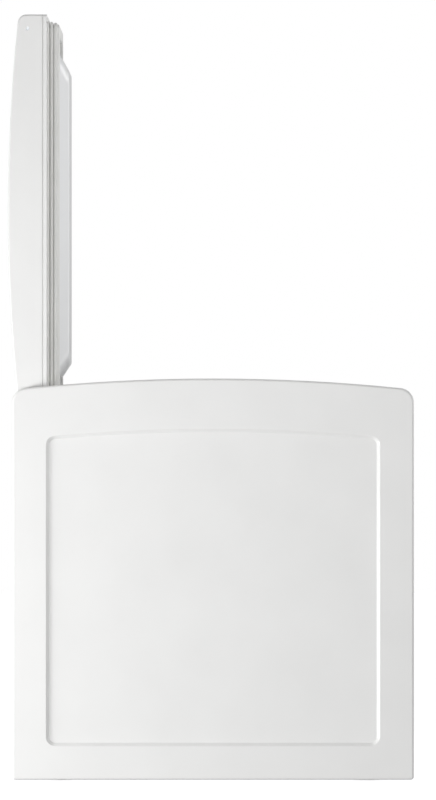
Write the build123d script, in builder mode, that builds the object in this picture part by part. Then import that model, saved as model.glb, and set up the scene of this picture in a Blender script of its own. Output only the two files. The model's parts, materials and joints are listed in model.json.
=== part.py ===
"""Insulated top-opening chest with a crowned lid that turns between two arched end panels.

Millimetres. +X is the front, +Z is up, and Y runs along the width. The origin is the centre of the
cabinet's footprint on the floor. The lid is built closed and then turned open by 90 degrees.
"""

from build123d import *
import math
import os

# ---- overall sizes ----
DEPTH = 600.0
WIDTH = 760.0
HEIGHT = 600.0
CROWN_RADIUS = 2760.0
GROUND_GAP = 1.0

# ---- end panels and cheeks ----
PANEL_DEPTH = 18.0
PANEL_WALL = 3.0
PANEL_EDGE_RADIUS = 3.5
TOP_CORNER = 22.0
BOTTOM_CORNER = 5.0
FIELD_MARGIN = 50.5
FIELD_TOP_DROP = 75.0
FIELD_DEPTH = 5.0
FIELD_CORNER = 14.0
TRIM_THICKNESS = 3.0
TRIM_EDGE_RADIUS = 1.0
SEAT_GAP = 0.3

# ---- outer sheet and base ----
SHEET = 1.2
SHEET_INSET = 0.8
FOOT_HEIGHT = 8.0
FOOT_RADIUS = 20.0
FOOT_INSET = 70.0
FOOT_EDGE = 1.5
BASE_SHEET = 1.5
FLANGE = 18.0

# ---- rim and cavity ----
RIM_TOP = 522.3
RIM_THICKNESS = 6.0
RIM_WALL = 3.0
MOUTH_EDGE = 1.5
REAR_WALL = 52.0
FRONT_WALL = 60.0
SIDE_WALL = 70.0
CAVITY_CORNER = 30.0
LEDGE_DROP = 24.3
LEDGE_WIDTH = 8.0
LINER_SHEET = 1.2
LINER_FLANGE = 5.0
FLOOR_Z = 60.0
HUMP_Z = 215.0
HUMP_Y = 150.0
FLOOR_RADIUS = 10.0

# ---- machine compartment ----
MACHINE_INSULATION = 50.0
BULKHEAD_SHEET = 1.5

# ---- lid ----
HINGE_SETBACK = 23.1
HINGE_UNDER_CROWN = 15.475
LID_REAR_GAP = 6.0
LID_FRONT_GAP = 3.7
LID_SIDE_GAP = 2.5
LID_LOWER_Z = 541.5
LID_FRAME_HEIGHT = 6.0
LID_FRAME_WIDTH = 46.0
LID_FRAME_CORNER = 12.0
LID_FRAME_OUTER_CORNER = 3.0
LID_FRAME_EDGE = 1.2
LID_CAP = 10.0
LID_FRONT_RADIUS = 13.0
LID_REAR_RADIUS = 8.0
LID_EDGE_RADIUS = 2.5
LID_SHEET = 1.2
LID_FLANGE = 14.0

# ---- gasket: each layer's height and how far it stands in from the outer line ----
GASKET_LAYERS = [(2.0, 0.0), (2.0, 4.0), (3.3, 0.8), (1.2, 4.0), (4.4, 2.2), (5.9, 4.2)]
GASKET_WIDTH = 20.0
GASKET_FRONT_INSET = 9.8
GASKET_REAR_INSET = 13.0
GASKET_SIDE_INSET = 10.0
GASKET_CORNER = 12.0
GASKET_INNER_CORNER = 4.0
GASKET_TIP_RADIUS = 4.0
MAGNET_WIDTH = 8.0
MAGNET_HEIGHT = 2.5
MAGNET_CLEARANCE = 0.3
MAGNET_RISE = 2.0
MAGNET_END_GAP = 4.0
CHANNEL_CORNER = 3.0

# ---- lid plug ----
PLUG_REAR = 55.2
PLUG_FRONT = 62.7
PLUG_SIDE = 76.0
PLUG_DROP = 32.3
PLUG_SLOPE_Z = 13.5
PLUG_REAR_SLOPE = 20.2
PLUG_FRONT_SLOPE = 24.0
PLUG_SIDE_SLOPE = 20.0
PLUG_SHEET = 2.0
PLUG_CORNER = 24.0
PLUG_EDGE_RADIUS = 4.0
PLUG_FLANGE_GAP = 4.0

# ---- hinge ----
HINGE_PIN_RADIUS = 5.0
RUNNING_FIT = 0.05
BUSH_WALL = 4.0
BRACKET_THICKNESS = 3.0
BRACKET_CORNER = 8.0
BRACKET_BEHIND = 13.0
BRACKET_AHEAD = 50.0
BRACKET_BELOW = 36.0
BRACKET_ABOVE = 8.0
BRACKET_SCREW_INSET = 8.0
PIN_HEAD = 3.0
PIN_CHAMFER = 1.0
PIN_END_GAP = 0.5
STOP_RADIUS = 18.0
STOP_PIN_RADIUS = 3.0
STOP_CLEARANCE = 0.6
STOP_REACH = 5.0
STOP_PIN_SEAT = 2.0
STOP_CHAMFER = 0.8
SCREW_SHANK = 2.0
SCREW_HEAD = 3.6
SCREW_HEAD_DEPTH = 2.0
CAP_SCREW_SETBACK = 24.7
CAP_SCREW_SHANK = 1.5
CAP_SCREW_HEAD = 2.6
CAP_SCREW_SINK = 1.5
CAP_SCREW_SHY = 0.4

# ---- finger grip ----
GRIP_WIDTH = 136.0
GRIP_HEIGHT = 20.0
GRIP_DEPTH = 24.0
GRIP_WALL = 2.0
GRIP_LIP = 5.0
GRIP_PROUD = 1.0
GRIP_RISE = 16.0

# ---- pipes ----
EVAPORATOR_RADIUS = 3.5
EVAPORATOR_TURNS = 5
EVAPORATOR_RISE = 35.0
EVAPORATOR_HEADROOM = 45.0
COIL_ROOM_BELOW = 16.0
COIL_ROOM_ABOVE = 12.0
CONDENSER_RADIUS = 2.5
CONDENSER_ROWS = 6
CONDENSER_PITCH = 40.0
CONDENSER_START = 235.0
CONDENSER_MARGIN = 45.0
CONDENSER_BEND = 18.0
CONDENSER_ROOM = 8.0
SUCTION_RADIUS = 3.5
SUCTION_RISE = 45.0
SUCTION_REACH = 50.0
DISCHARGE_RADIUS = 3.0
DISCHARGE_RISE = 30.0
DISCHARGE_REACH = 80.0
DISCHARGE_ASIDE = 25.0
PIPE_BEND = 20.0

# ---- filter drier: its turned outline as radius and height, from its lower stub to its upper pipe ----
DRIER_REACH = 75.0
DRIER_ASIDE = 40.0
DRIER_PROFILE = [(0, -12), (2, -12), (2, -6), (9, 2), (9, 46), (3, 54), (3, 75), (0, 75)]

# ---- compressor ----
COMPRESSOR_LENGTH = 180.0
COMPRESSOR_WIDTH = 116.0
COMPRESSOR_RADIUS = 42.0
SHELL_LENGTH = 140.0
SHELL_WIDTH = 112.0
SHELL_DOME = 30.0
SHELL_HEIGHT = 113.0
SEAM_LIP = 4.0
SEAM_RISE = 60.0
SEAM_HEIGHT = 5.0
BASE_PLATE = 3.0
BASE_PLATE_CORNER = 8.0
GROMMET_INSET = 12.0
RAIL_THICKNESS = 2.5
RAIL_OVERHANG = 30.0
RAIL_MARGIN = 4.0
GROMMET_HEIGHT = 12.0
GROMMET_RADIUS = 11.0
BOLT_RADIUS = 3.0
BOLT_PLATE_GAP = 1.5
BOLT_RUBBER_GAP = 0.3
BOLT_HEAD = 6.0
BOLT_HEAD_HEIGHT = 4.0
RELAY_DEPTH = 32.0
RELAY_WIDTH = 44.0
RELAY_LOW = 12.0
RELAY_HEIGHT = 42.0
RELAY_EDGE = 4.0

# ---- temperature sensor ----
SENSOR_X = 200.0
CAPILLARY_RADIUS = 1.2
CAPILLARY_BEND = 14.0
CAPILLARY_ROOM = 4.0
BULB_X = 40.0
BULB_LENGTH = 80.0
BULB_GAP = 2.0

# ---- control panel ----
PANEL_WIDTH = 140.0
PANEL_HEIGHT = 140.0
PANEL_LOW = 22.0
PANEL_PLATE = 3.0
SLOT_HEIGHT = 4.5
SLOT_PITCH = 10.0
SLOT_ROWS = 7
SLOT_MARGIN = 14.0
SLOT_LOW = 12.0
DISH_RADIUS = 24.0
DISH_DEPTH = 16.0
DISH_WALL = 2.0
DISH_ASIDE = 38.0
DISH_RISE = 40.0
THERMOSTAT_DEPTH = 24.0
THERMOSTAT_WIDTH = 40.0
THERMOSTAT_HEIGHT = 28.0
THERMOSTAT_EDGE = 2.0
SPINDLE_SEAT = 12.0
SPINDLE_END_GAP = 0.5
KNOB_RADIUS = 17.0
KNOB_DEPTH = 13.0
KNOB_GAP = 1.0
KNOB_BORE = 8.0
KNOB_FLUTES = 18
FLUTE_RADIUS = 1.8
FLUTE_INSET = 0.8
POINTER_WIDTH = 2.4
POINTER_DEPTH = 1.0
POINTER_INNER = 5.0
POINTER_LENGTH = 10.0
SPINDLE_RADIUS = 3.0
LENS_RADIUS = 3.0
LENS_PITCH = 14.0
LENS_RISE = 52.0
LENS_TAIL = 6.0
LENS_PROUD = 0.4
ROCKER_WIDTH = 12.0
ROCKER_HEIGHT = 20.0
ROCKER_ASIDE = 29.0
ROCKER_RISE = 30.0
ROCKER_GAP = 1.0
ROCKER_PIN_RADIUS = 1.45
ROCKER_NOSE = 4.0
ROCKER_PROUD = 0.2
ROCKER_HOLLOW = 2.8
ROCKER_LOW_SIDE = 1.5
SWITCH_DEPTH = 18.0
SWITCH_WALL = 2.0
SWITCH_BACK = 4.0

# ---- rear cover and power inlet: the pins' places are from the inlet's centre ----
REAR_SCREW_SIDE = 8.0
REAR_SCREW_END = 6.0
REAR_SCREW_TAIL = 6.0
INLET_DROP = 28.0
INLET_WIDTH = 28.0
INLET_HEIGHT = 20.0
INLET_DEPTH = 22.0
INLET_WALL = 2.5
SOCKET_DEPTH = 17.0
INLET_PINS = [(-6.0, -1.5), (0.0, 2.5), (6.0, -1.5)]
INLET_PIN_WIDTH = 2.0
INLET_PIN_HEIGHT = 5.0
INLET_PIN_SETBACK = 3.0

# ---- drain ----
DRAIN_X = 190.0
DRAIN_Y = -260.0
DRAIN_BORE = 7.0
DRAIN_WALL = 2.0
DRAIN_Z = 33.0
DRAIN_BEND = 17.0
DRAIN_SETBACK = 10.0
DRAIN_FIT = 0.3
DRAIN_CAP_RADIUS = 13.0
DRAIN_CAP_DEPTH = 5.0
DRAIN_CAP_EDGE = 1.0
CAP_CLEARANCE = 0.5
CAP_RECESS = 2.0
CAP_BAR_WIDTH = 4.0
CAP_BAR_DEPTH = 4.0
CAP_SPIGOT = 10.0
PLUG_STEM = 14.0
PLUG_TAPER = 10.0
PLUG_LIP_RADIUS = 14.0
PLUG_LIP_GAP = 0.2
PLUG_KNOB_RADIUS = 5.0
PLUG_KNOB_TOP = 9.0

# ---- basket ----
BASKET_LENGTH = 190.0
BASKET_DEPTH = 170.0
BASKET_BAR = 3.0
BASKET_RIM = 5.0
BASKET_WALL_GAP = 4.0
HANGER_GAP = 1.5
BASKET_CELLS_X = 14
BASKET_CELLS_Y = 6
BASKET_CELLS_Z = 4
BASKET_END_GAP = CAVITY_CORNER

# ---- worked out from the above ----
BACK = -DEPTH / 2
FRONT = DEPTH / 2
HINGE_X = BACK + HINGE_SETBACK
CROWN_SAG = CROWN_RADIUS - math.sqrt(CROWN_RADIUS**2 - HINGE_X**2)
HINGE_Z = HEIGHT - CROWN_SAG - HINGE_UNDER_CROWN
HINGE_AXIS = Axis((HINGE_X, 0, HINGE_Z), (0, 1, 0))
END_Y = WIDTH / 2
PANEL_Y = END_Y - PANEL_DEPTH
CHEEK_Y = PANEL_Y - TRIM_THICKNESS
RIM_LOW = RIM_TOP - RIM_THICKNESS
LEDGE_Z = RIM_TOP - LEDGE_DROP
SHEET_FRONT = FRONT - SHEET_INSET
SHEET_BACK = BACK + SHEET_INSET
INNER_FRONT = SHEET_FRONT - SHEET
INNER_BACK = SHEET_BACK + SHEET
BASE_TOP = FOOT_HEIGHT + BASE_SHEET
MOUTH_X0 = BACK + REAR_WALL
MOUTH_X1 = FRONT - FRONT_WALL
MOUTH_Y = END_Y - SIDE_WALL
LINER_X0 = MOUTH_X0 + LEDGE_WIDTH - LINER_SHEET
LINER_X1 = MOUTH_X1 - LEDGE_WIDTH + LINER_SHEET
LINER_Y = MOUTH_Y - LEDGE_WIDTH + LINER_SHEET
LINER_TOP = LEDGE_Z - RIM_WALL
EVAPORATOR_START = HUMP_Z + EVAPORATOR_RISE
EVAPORATOR_PITCH = (LINER_TOP - EVAPORATOR_HEADROOM - EVAPORATOR_START) / EVAPORATOR_TURNS
MACHINE_Y = HUMP_Y + MACHINE_INSULATION
MACHINE_Z = HUMP_Z - MACHINE_INSULATION
LID_X0 = BACK + LID_REAR_GAP
LID_X1 = FRONT - LID_FRONT_GAP
LID_Y = CHEEK_Y - LID_SIDE_GAP
CAP_Y = LID_Y - LID_CAP
SHELL_Z = LID_LOWER_Z + LID_FRAME_HEIGHT
CONTROL_Y = (MACHINE_Y + PANEL_Y) / 2
CONTROL_Z = PANEL_LOW + PANEL_HEIGHT / 2
SENSOR_Y = LINER_Y + EVAPORATOR_RADIUS + SEAT_GAP
SENSOR_SLOT = (SENSOR_X - CAPILLARY_ROOM, SENSOR_X + CAPILLARY_ROOM,
               SENSOR_Y - CAPILLARY_ROOM, SENSOR_Y + CAPILLARY_ROOM)
ROOT2 = math.sqrt(2)


def at_y(y):
    """A plane facing -Y at the given Y, with +X to the right and +Z up."""
    return Plane.XZ.offset(-y)


def at_x(x):
    """A plane facing +X at the given X, with +Y to the right and +Z up."""
    return Plane.YZ.offset(x)


def upright(x, y, z):
    """A plane facing -Y through a point, for the half section of a turned piece."""
    return Plane(origin=(x, y, z), x_dir=(1, 0, 0), z_dir=(0, -1, 0))


def crown(x, drop=0.0):
    """Height of the crown arc at x, for an arc that runs parallel below the crown by drop."""
    radius = CROWN_RADIUS - drop
    return HEIGHT - drop - radius + math.sqrt(radius**2 - x**2)


def arched(y, x0, x1, z0, drop, top_front, top_back, bottom):
    """A face at y with a straight foot at z0 and the crown arc on top; the last three are corner radii."""
    middle = (x0 + x1) / 2
    with BuildSketch(at_y(y)) as face:
        with BuildLine():
            Polyline((x0, crown(x0, drop)), (x0, z0), (x1, z0), (x1, crown(x1, drop)))
            ThreePointArc((x1, crown(x1, drop)), (middle, crown(middle, drop)), (x0, crown(x0, drop)))
        make_face()
        fillet(face.vertices().group_by(Axis.X)[-1].sort_by(Axis.Y)[-1], top_front)
        fillet(face.vertices().group_by(Axis.X)[0].sort_by(Axis.Y)[-1], top_back)
        if bottom:
            fillet(face.vertices().group_by(Axis.Y)[0], bottom)
    return face.sketch


def block(x0, x1, y0, y1, z0, z1):
    """A plain box between two corners, as a tool for cutting and joining."""
    return Pos((x0 + x1) / 2, (y0 + y1) / 2, (z0 + z1) / 2) * Box(
        x1 - x0, y1 - y0, z1 - z0, mode=Mode.PRIVATE
    )


def tub(x0, x1, y0, y1, z0, z1, radius):
    """An upright box with rounded vertical edges."""
    with BuildPart() as body:
        with BuildSketch(Plane.XY.offset(z0)):
            with Locations(((x0 + x1) / 2, (y0 + y1) / 2)):
                RectangleRounded(x1 - x0, y1 - y0, radius)
        extrude(amount=z1 - z0)
    return body.part


def tube(points, radius, bends, bore=0.0):
    """A round tube or rod along straight runs joined by tangent arcs."""
    with BuildLine() as route:
        FilletPolyline(*points, radius=bends)
    start = Plane(origin=route.line @ 0, z_dir=route.line % 0)
    with BuildPart() as pipe:
        with BuildSketch(start):
            Circle(radius)
            if bore:
                Circle(bore, mode=Mode.SUBTRACT)
        sweep(path=route.line)
    return pipe.part


def mirrored(piece):
    """The same piece for the other end."""
    with BuildPart() as other:
        mirror(piece, about=Plane.XZ)
    return other.part


def opened(piece):
    """A lid piece turned from closed to open."""
    return piece.rotate(HINGE_AXIS, -90)


pieces = {}


# ---- left end panel: a moulded dish with a pressed field ----
field = dict(x0=BACK + FIELD_MARGIN, x1=FRONT - FIELD_MARGIN, z0=GROUND_GAP + FIELD_MARGIN)
grow = PANEL_WALL * ROOT2
back_of_field = dict(x0=field["x0"] - grow, x1=field["x1"] + grow, z0=field["z0"] - grow)

with BuildPart() as panel_hollow:
    inset = PANEL_WALL
    extrude(
        arched(
            -PANEL_Y, BACK + inset, FRONT - inset, GROUND_GAP + inset, inset,
            TOP_CORNER - inset, TOP_CORNER - inset, BOTTOM_CORNER - inset,
        ),
        amount=PANEL_DEPTH - inset,
    )
    corner = FIELD_CORNER + grow
    extrude(
        arched(-END_Y, **back_of_field, drop=FIELD_TOP_DROP - grow,
               top_front=corner, top_back=corner, bottom=corner),
        amount=FIELD_DEPTH + PANEL_WALL, dir=(0, 1, 0), taper=45, mode=Mode.SUBTRACT,
    )

with BuildPart() as end_panel_left:
    extrude(
        arched(-PANEL_Y, BACK, FRONT, GROUND_GAP, 0, TOP_CORNER, TOP_CORNER, BOTTOM_CORNER),
        amount=PANEL_DEPTH,
    )
    fillet(end_panel_left.faces().sort_by(Axis.Y)[0].edges(), PANEL_EDGE_RADIUS)
    extrude(
        arched(-END_Y, **field, drop=FIELD_TOP_DROP,
               top_front=FIELD_CORNER, top_back=FIELD_CORNER, bottom=FIELD_CORNER),
        amount=FIELD_DEPTH, dir=(0, 1, 0), taper=45, mode=Mode.SUBTRACT,
    )
    add(panel_hollow.part, mode=Mode.SUBTRACT)
pieces["end_panel_left"] = end_panel_left.part
pieces["end_panel_right"] = mirrored(end_panel_left.part)


# ---- cheek trim, hinge bracket, pin and screws, left end ----
def stop_slot(y, length):
    """The quarter-circle slot that the stop pin runs in."""
    slot_radius = STOP_PIN_RADIUS + STOP_CLEARANCE
    with BuildPart() as cutter:
        with BuildSketch(at_y(y)):
            with BuildLine():
                CenterArc((HINGE_X, HINGE_Z), STOP_RADIUS - slot_radius, -90, 90)
                CenterArc((HINGE_X, HINGE_Z), STOP_RADIUS + slot_radius, -90, 90)
                CenterArc((HINGE_X + STOP_RADIUS, HINGE_Z), slot_radius, 0, 180)
                CenterArc((HINGE_X, HINGE_Z - STOP_RADIUS), slot_radius, 90, 180)
            make_face()
        extrude(amount=length)
    return cutter.part


def rod_y(x, z, y0, y1, radius):
    """A round rod along Y between y0 and y1."""
    with BuildPart() as rod:
        with BuildSketch(at_y(y1)):
            with Locations((x, z)):
                Circle(radius)
        extrude(amount=y1 - y0)
    return rod.part


def rod_x(y, z, x0, x1, radius):
    """A round rod along X between x0 and x1."""
    with BuildPart() as rod:
        with BuildSketch(at_x(x0)):
            with Locations((y, z)):
                Circle(radius)
        extrude(amount=x1 - x0)
    return rod.part


BRACKET_X0 = HINGE_X - BRACKET_BEHIND
BRACKET_X1 = HINGE_X + BRACKET_AHEAD
BRACKET_Z0 = HINGE_Z - BRACKET_BELOW
BRACKET_Z1 = HINGE_Z + BRACKET_ABOVE
SCREW_PLACES = [
    (BRACKET_X1 - BRACKET_SCREW_INSET, BRACKET_Z1 - BRACKET_SCREW_INSET),
    (BRACKET_X1 - BRACKET_SCREW_INSET, BRACKET_Z0 + BRACKET_SCREW_INSET),
    (BRACKET_X0 + BRACKET_SCREW_INSET, BRACKET_Z0 + BRACKET_SCREW_INSET),
]

with BuildPart() as cheek_trim_left:
    extrude(
        arched(-CHEEK_Y, BACK, FRONT, RIM_LOW, 0, TOP_CORNER, TOP_CORNER, 0),
        amount=TRIM_THICKNESS,
    )
    fillet(cheek_trim_left.faces().sort_by(Axis.Y)[-1].edges().filter_by(GeomType.CIRCLE), TRIM_EDGE_RADIUS)
    add(rod_y(HINGE_X, HINGE_Z, -PANEL_Y, -CHEEK_Y, HINGE_PIN_RADIUS + STOP_CLEARANCE), mode=Mode.SUBTRACT)
    add(stop_slot(-CHEEK_Y, TRIM_THICKNESS), mode=Mode.SUBTRACT)
    for x, z in SCREW_PLACES:
        add(rod_y(x, z, -PANEL_Y, -CHEEK_Y, SCREW_SHANK), mode=Mode.SUBTRACT)
        add(rod_y(x, z, -CHEEK_Y - SCREW_HEAD_DEPTH, -CHEEK_Y, SCREW_HEAD), mode=Mode.SUBTRACT)
pieces["cheek_trim_left"] = cheek_trim_left.part
pieces["cheek_trim_right"] = mirrored(cheek_trim_left.part)

BRACKET_Y = -PANEL_Y - BRACKET_THICKNESS
with BuildPart() as hinge_bracket_left:
    with BuildSketch(at_y(-PANEL_Y)):
        with Locations(((BRACKET_X0 + BRACKET_X1) / 2, (BRACKET_Z0 + BRACKET_Z1) / 2)):
            RectangleRounded(BRACKET_X1 - BRACKET_X0, BRACKET_Z1 - BRACKET_Z0, BRACKET_CORNER)
    extrude(amount=BRACKET_THICKNESS)
    add(rod_y(HINGE_X, HINGE_Z, BRACKET_Y, -PANEL_Y, HINGE_PIN_RADIUS), mode=Mode.SUBTRACT)
    add(stop_slot(-PANEL_Y, BRACKET_THICKNESS), mode=Mode.SUBTRACT)
    for x, z in SCREW_PLACES:
        add(rod_y(x, z, BRACKET_Y, -PANEL_Y, SCREW_SHANK), mode=Mode.SUBTRACT)
pieces["hinge_bracket_left"] = hinge_bracket_left.part
pieces["hinge_bracket_right"] = mirrored(hinge_bracket_left.part)

with BuildPart() as hinge_pin_left:
    add(rod_y(HINGE_X, HINGE_Z, BRACKET_Y - PIN_HEAD, -CAP_Y - PIN_END_GAP, HINGE_PIN_RADIUS))
    add(rod_y(HINGE_X, HINGE_Z, BRACKET_Y - PIN_HEAD, BRACKET_Y, HINGE_PIN_RADIUS + PIN_HEAD))
    chamfer(hinge_pin_left.faces().sort_by(Axis.Y)[-1].edges(), PIN_CHAMFER)
pieces["hinge_pin_left"] = hinge_pin_left.part
pieces["hinge_pin_right"] = mirrored(hinge_pin_left.part)

with BuildPart() as hinge_screws:
    for x, z in SCREW_PLACES:
        add(rod_y(x, z, BRACKET_Y, -CHEEK_Y, SCREW_SHANK))
        add(rod_y(x, z, -CHEEK_Y - SCREW_HEAD_DEPTH, -CHEEK_Y, SCREW_HEAD))
    mirror(about=Plane.XZ)
pieces["hinge_screws"] = hinge_screws.part


# ---- front and back panels, base pan, feet ----
def wall_sheet(outer_x, inner_x, flange_x, window):
    """An upright sheet with flanges turned in at its top and foot, and a window."""
    with BuildPart() as sheet:
        add(block(min(outer_x, inner_x), max(outer_x, inner_x), -PANEL_Y, PANEL_Y, FOOT_HEIGHT, RIM_LOW))
        low, high = min(inner_x, flange_x), max(inner_x, flange_x)
        add(block(low, high, -CHEEK_Y, CHEEK_Y, RIM_LOW - SHEET, RIM_LOW))
        add(window, mode=Mode.SUBTRACT)
    return sheet.part


PANEL_SIDE = (CONTROL_Y - PANEL_WIDTH / 2, CONTROL_Y + PANEL_WIDTH / 2)
PANEL_RISE = (PANEL_LOW, PANEL_LOW + PANEL_HEIGHT)
WINDOW_CUT = 40.0
DRAIN_END = FRONT - DRAIN_SETBACK
front_window = block(FRONT - WINDOW_CUT / 2, FRONT + WINDOW_CUT / 2, *PANEL_SIDE, *PANEL_RISE)
drain_window = rod_x(DRAIN_Y, DRAIN_Z, FRONT - WINDOW_CUT / 2, FRONT, DRAIN_CAP_RADIUS + CAP_CLEARANCE)
front_windows = front_window + drain_window
pieces["front_panel"] = wall_sheet(SHEET_FRONT, INNER_FRONT, INNER_FRONT - FLANGE, front_windows)
back_window = block(BACK - WINDOW_CUT / 2, BACK + WINDOW_CUT / 2, *PANEL_SIDE, *PANEL_RISE)
pieces["back_panel"] = wall_sheet(SHEET_BACK, INNER_BACK, INNER_BACK + FLANGE, back_window)

foot_places = [(sx * (FRONT - FOOT_INSET), sy * (END_Y - FOOT_INSET)) for sx in (-1, 1) for sy in (-1, 1)]
with BuildPart() as base_pan:
    add(block(INNER_BACK, INNER_FRONT, -PANEL_Y, PANEL_Y, FOOT_HEIGHT, BASE_TOP))
pieces["base_pan"] = base_pan.part

with BuildPart() as feet:
    with BuildSketch():
        with Locations(*foot_places):
            Circle(FOOT_RADIUS)
    extrude(amount=FOOT_HEIGHT)
    fillet(feet.faces().group_by(Axis.Z)[0].edges(), FOOT_EDGE)
pieces["feet"] = feet.part


# ---- inner liner: a tub with a step over the machine compartment ----
def liner_block(extra=0.0):
    """The liner's outer volume, grown sideways and down by extra, or shrunk where that is negative."""
    with BuildPart() as volume:
        add(tub(LINER_X0 - extra, LINER_X1 + extra, -LINER_Y - extra, LINER_Y + extra,
                HUMP_Z - LINER_SHEET - extra, LINER_TOP, CAVITY_CORNER + extra))
        add(tub(LINER_X0 - extra, LINER_X1 + extra, -LINER_Y - extra, HUMP_Y + LINER_SHEET + extra,
                FLOOR_Z - LINER_SHEET - extra, HUMP_Z + CAVITY_CORNER, CAVITY_CORNER + extra))
        floor_edges = volume.faces().filter_by(Axis.Z).sort_by(Axis.Z)[0].edges()
        fillet(floor_edges, FLOOR_RADIUS + extra)
    return volume.part


liner_volume = liner_block()
with BuildPart() as inner_liner:
    add(liner_volume)
    add(liner_block(-LINER_SHEET), mode=Mode.SUBTRACT)
    flange = tub(LINER_X0 - LINER_FLANGE, LINER_X1 + LINER_FLANGE, -LINER_Y - LINER_FLANGE,
                 LINER_Y + LINER_FLANGE, LINER_TOP - LINER_SHEET, LINER_TOP, CAVITY_CORNER + LINER_FLANGE)
    neck = tub(LINER_X0, LINER_X1, -LINER_Y, LINER_Y, LINER_TOP - LINER_SHEET, LINER_TOP, CAVITY_CORNER)
    add(flange - neck)
    with Locations((DRAIN_X, DRAIN_Y, FLOOR_Z)):
        Cylinder(DRAIN_BORE, FLOOR_RADIUS, mode=Mode.SUBTRACT)
pieces["inner_liner"] = inner_liner.part


# ---- rim frame with the basket ledge ----
def rim_ring(z0, z1, outer, inner):
    """A ring round the mouth; outer and inner are distances out from the mouth's edge."""
    corner = CAVITY_CORNER + LEDGE_WIDTH
    ring = [tub(MOUTH_X0 - grown, MOUTH_X1 + grown, -MOUTH_Y - grown, MOUTH_Y + grown, z0, z1, corner + grown)
            for grown in (outer, inner)]
    return ring[0] - ring[1]


with BuildPart() as rim_frame:
    add(block(SHEET_BACK, SHEET_FRONT, -CHEEK_Y, CHEEK_Y, RIM_LOW, RIM_TOP))
    add(tub(MOUTH_X0, MOUTH_X1, -MOUTH_Y, MOUTH_Y, RIM_LOW, RIM_TOP, CAVITY_CORNER + LEDGE_WIDTH),
        mode=Mode.SUBTRACT)
    add(rim_ring(LINER_TOP, RIM_LOW, RIM_WALL, 0))
    add(rim_ring(LINER_TOP, LEDGE_Z, 0, -LEDGE_WIDTH))
    mouth_edges = rim_frame.faces().sort_by(Axis.Z)[-1].inner_wires()[0].edges()
    fillet(mouth_edges, MOUTH_EDGE)
pieces["rim_frame"] = rim_frame.part

# ---- machine bulkhead: the sheet between foam and compartment ----
with BuildPart() as machine_bulkhead:
    add(block(INNER_BACK, INNER_FRONT, MACHINE_Y, PANEL_Y, MACHINE_Z - BULKHEAD_SHEET, MACHINE_Z))
    add(block(INNER_BACK, INNER_FRONT, MACHINE_Y, MACHINE_Y + BULKHEAD_SHEET, BASE_TOP, MACHINE_Z))
    add(block(*SENSOR_SLOT, MACHINE_Z - 2 * BULKHEAD_SHEET, MACHINE_Z), mode=Mode.SUBTRACT)
pieces["machine_bulkhead"] = machine_bulkhead.part

# ---- evaporator coil round the liner ----
coil_offset = EVAPORATOR_RADIUS + SEAT_GAP
coil_x0, coil_x1 = LINER_X0 - coil_offset, LINER_X1 + coil_offset
coil_y = LINER_Y + coil_offset
coil_points = [(0, -coil_y, EVAPORATOR_START), (coil_x1, -coil_y, EVAPORATOR_START)]
for turn in range(EVAPORATOR_TURNS):
    z = EVAPORATOR_START + turn * EVAPORATOR_PITCH
    rise = z + EVAPORATOR_PITCH
    coil_points += [(coil_x1, coil_y, z), (coil_x0, coil_y, z), (coil_x0, -coil_y, rise)]
    coil_points.append((0 if turn == EVAPORATOR_TURNS - 1 else coil_x1, -coil_y, rise))
pieces["evaporator_coil"] = tube(coil_points, EVAPORATOR_RADIUS, CAVITY_CORNER + coil_offset)


# ---- condenser coils inside the front and back sheets ----
def condenser(x):
    """A serpentine in the plane at x."""
    y0, y1 = -PANEL_Y + CONDENSER_MARGIN, PANEL_Y - CONDENSER_MARGIN
    points = []
    for row in range(CONDENSER_ROWS):
        z = CONDENSER_START + row * CONDENSER_PITCH
        ends = (y0, y1) if row % 2 == 0 else (y1, y0)
        points += [(x, ends[0], z), (x, ends[1], z)]
    return tube(points, CONDENSER_RADIUS, CONDENSER_BEND)


condenser_offset = CONDENSER_RADIUS + SEAT_GAP
pieces["condenser_front"] = condenser(INNER_FRONT - condenser_offset)
pieces["condenser_back"] = condenser(INNER_BACK + condenser_offset)

# ---- drain: tube through the foam, plug inside, cap outside ----
drain_route = [(DRAIN_X, DRAIN_Y, FLOOR_Z - LINER_SHEET), (DRAIN_X, DRAIN_Y, DRAIN_Z),
               (DRAIN_END, DRAIN_Y, DRAIN_Z)]
pieces["drain_tube"] = tube(drain_route, DRAIN_BORE + DRAIN_WALL, DRAIN_BEND, DRAIN_BORE)

with BuildPart() as drain_plug:
    with BuildSketch(upright(DRAIN_X, DRAIN_Y, FLOOR_Z)):
        with BuildLine():
            Polyline(
                (0, -PLUG_STEM), (DRAIN_BORE - 4 * DRAIN_FIT, -PLUG_STEM),
                (DRAIN_BORE - DRAIN_FIT, PLUG_TAPER - PLUG_STEM), (DRAIN_BORE - DRAIN_FIT, PLUG_LIP_GAP),
                (PLUG_LIP_RADIUS, PLUG_LIP_GAP), (PLUG_LIP_RADIUS, PLUG_KNOB_RADIUS / 2),
                (PLUG_KNOB_RADIUS, PLUG_KNOB_RADIUS - 1), (PLUG_KNOB_RADIUS, PLUG_KNOB_TOP),
                (0, PLUG_KNOB_TOP), (0, -PLUG_STEM),
            )
        make_face()
    revolve(axis=Axis((DRAIN_X, DRAIN_Y, FLOOR_Z), (0, 0, 1)))
pieces["drain_plug"] = drain_plug.part

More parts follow.
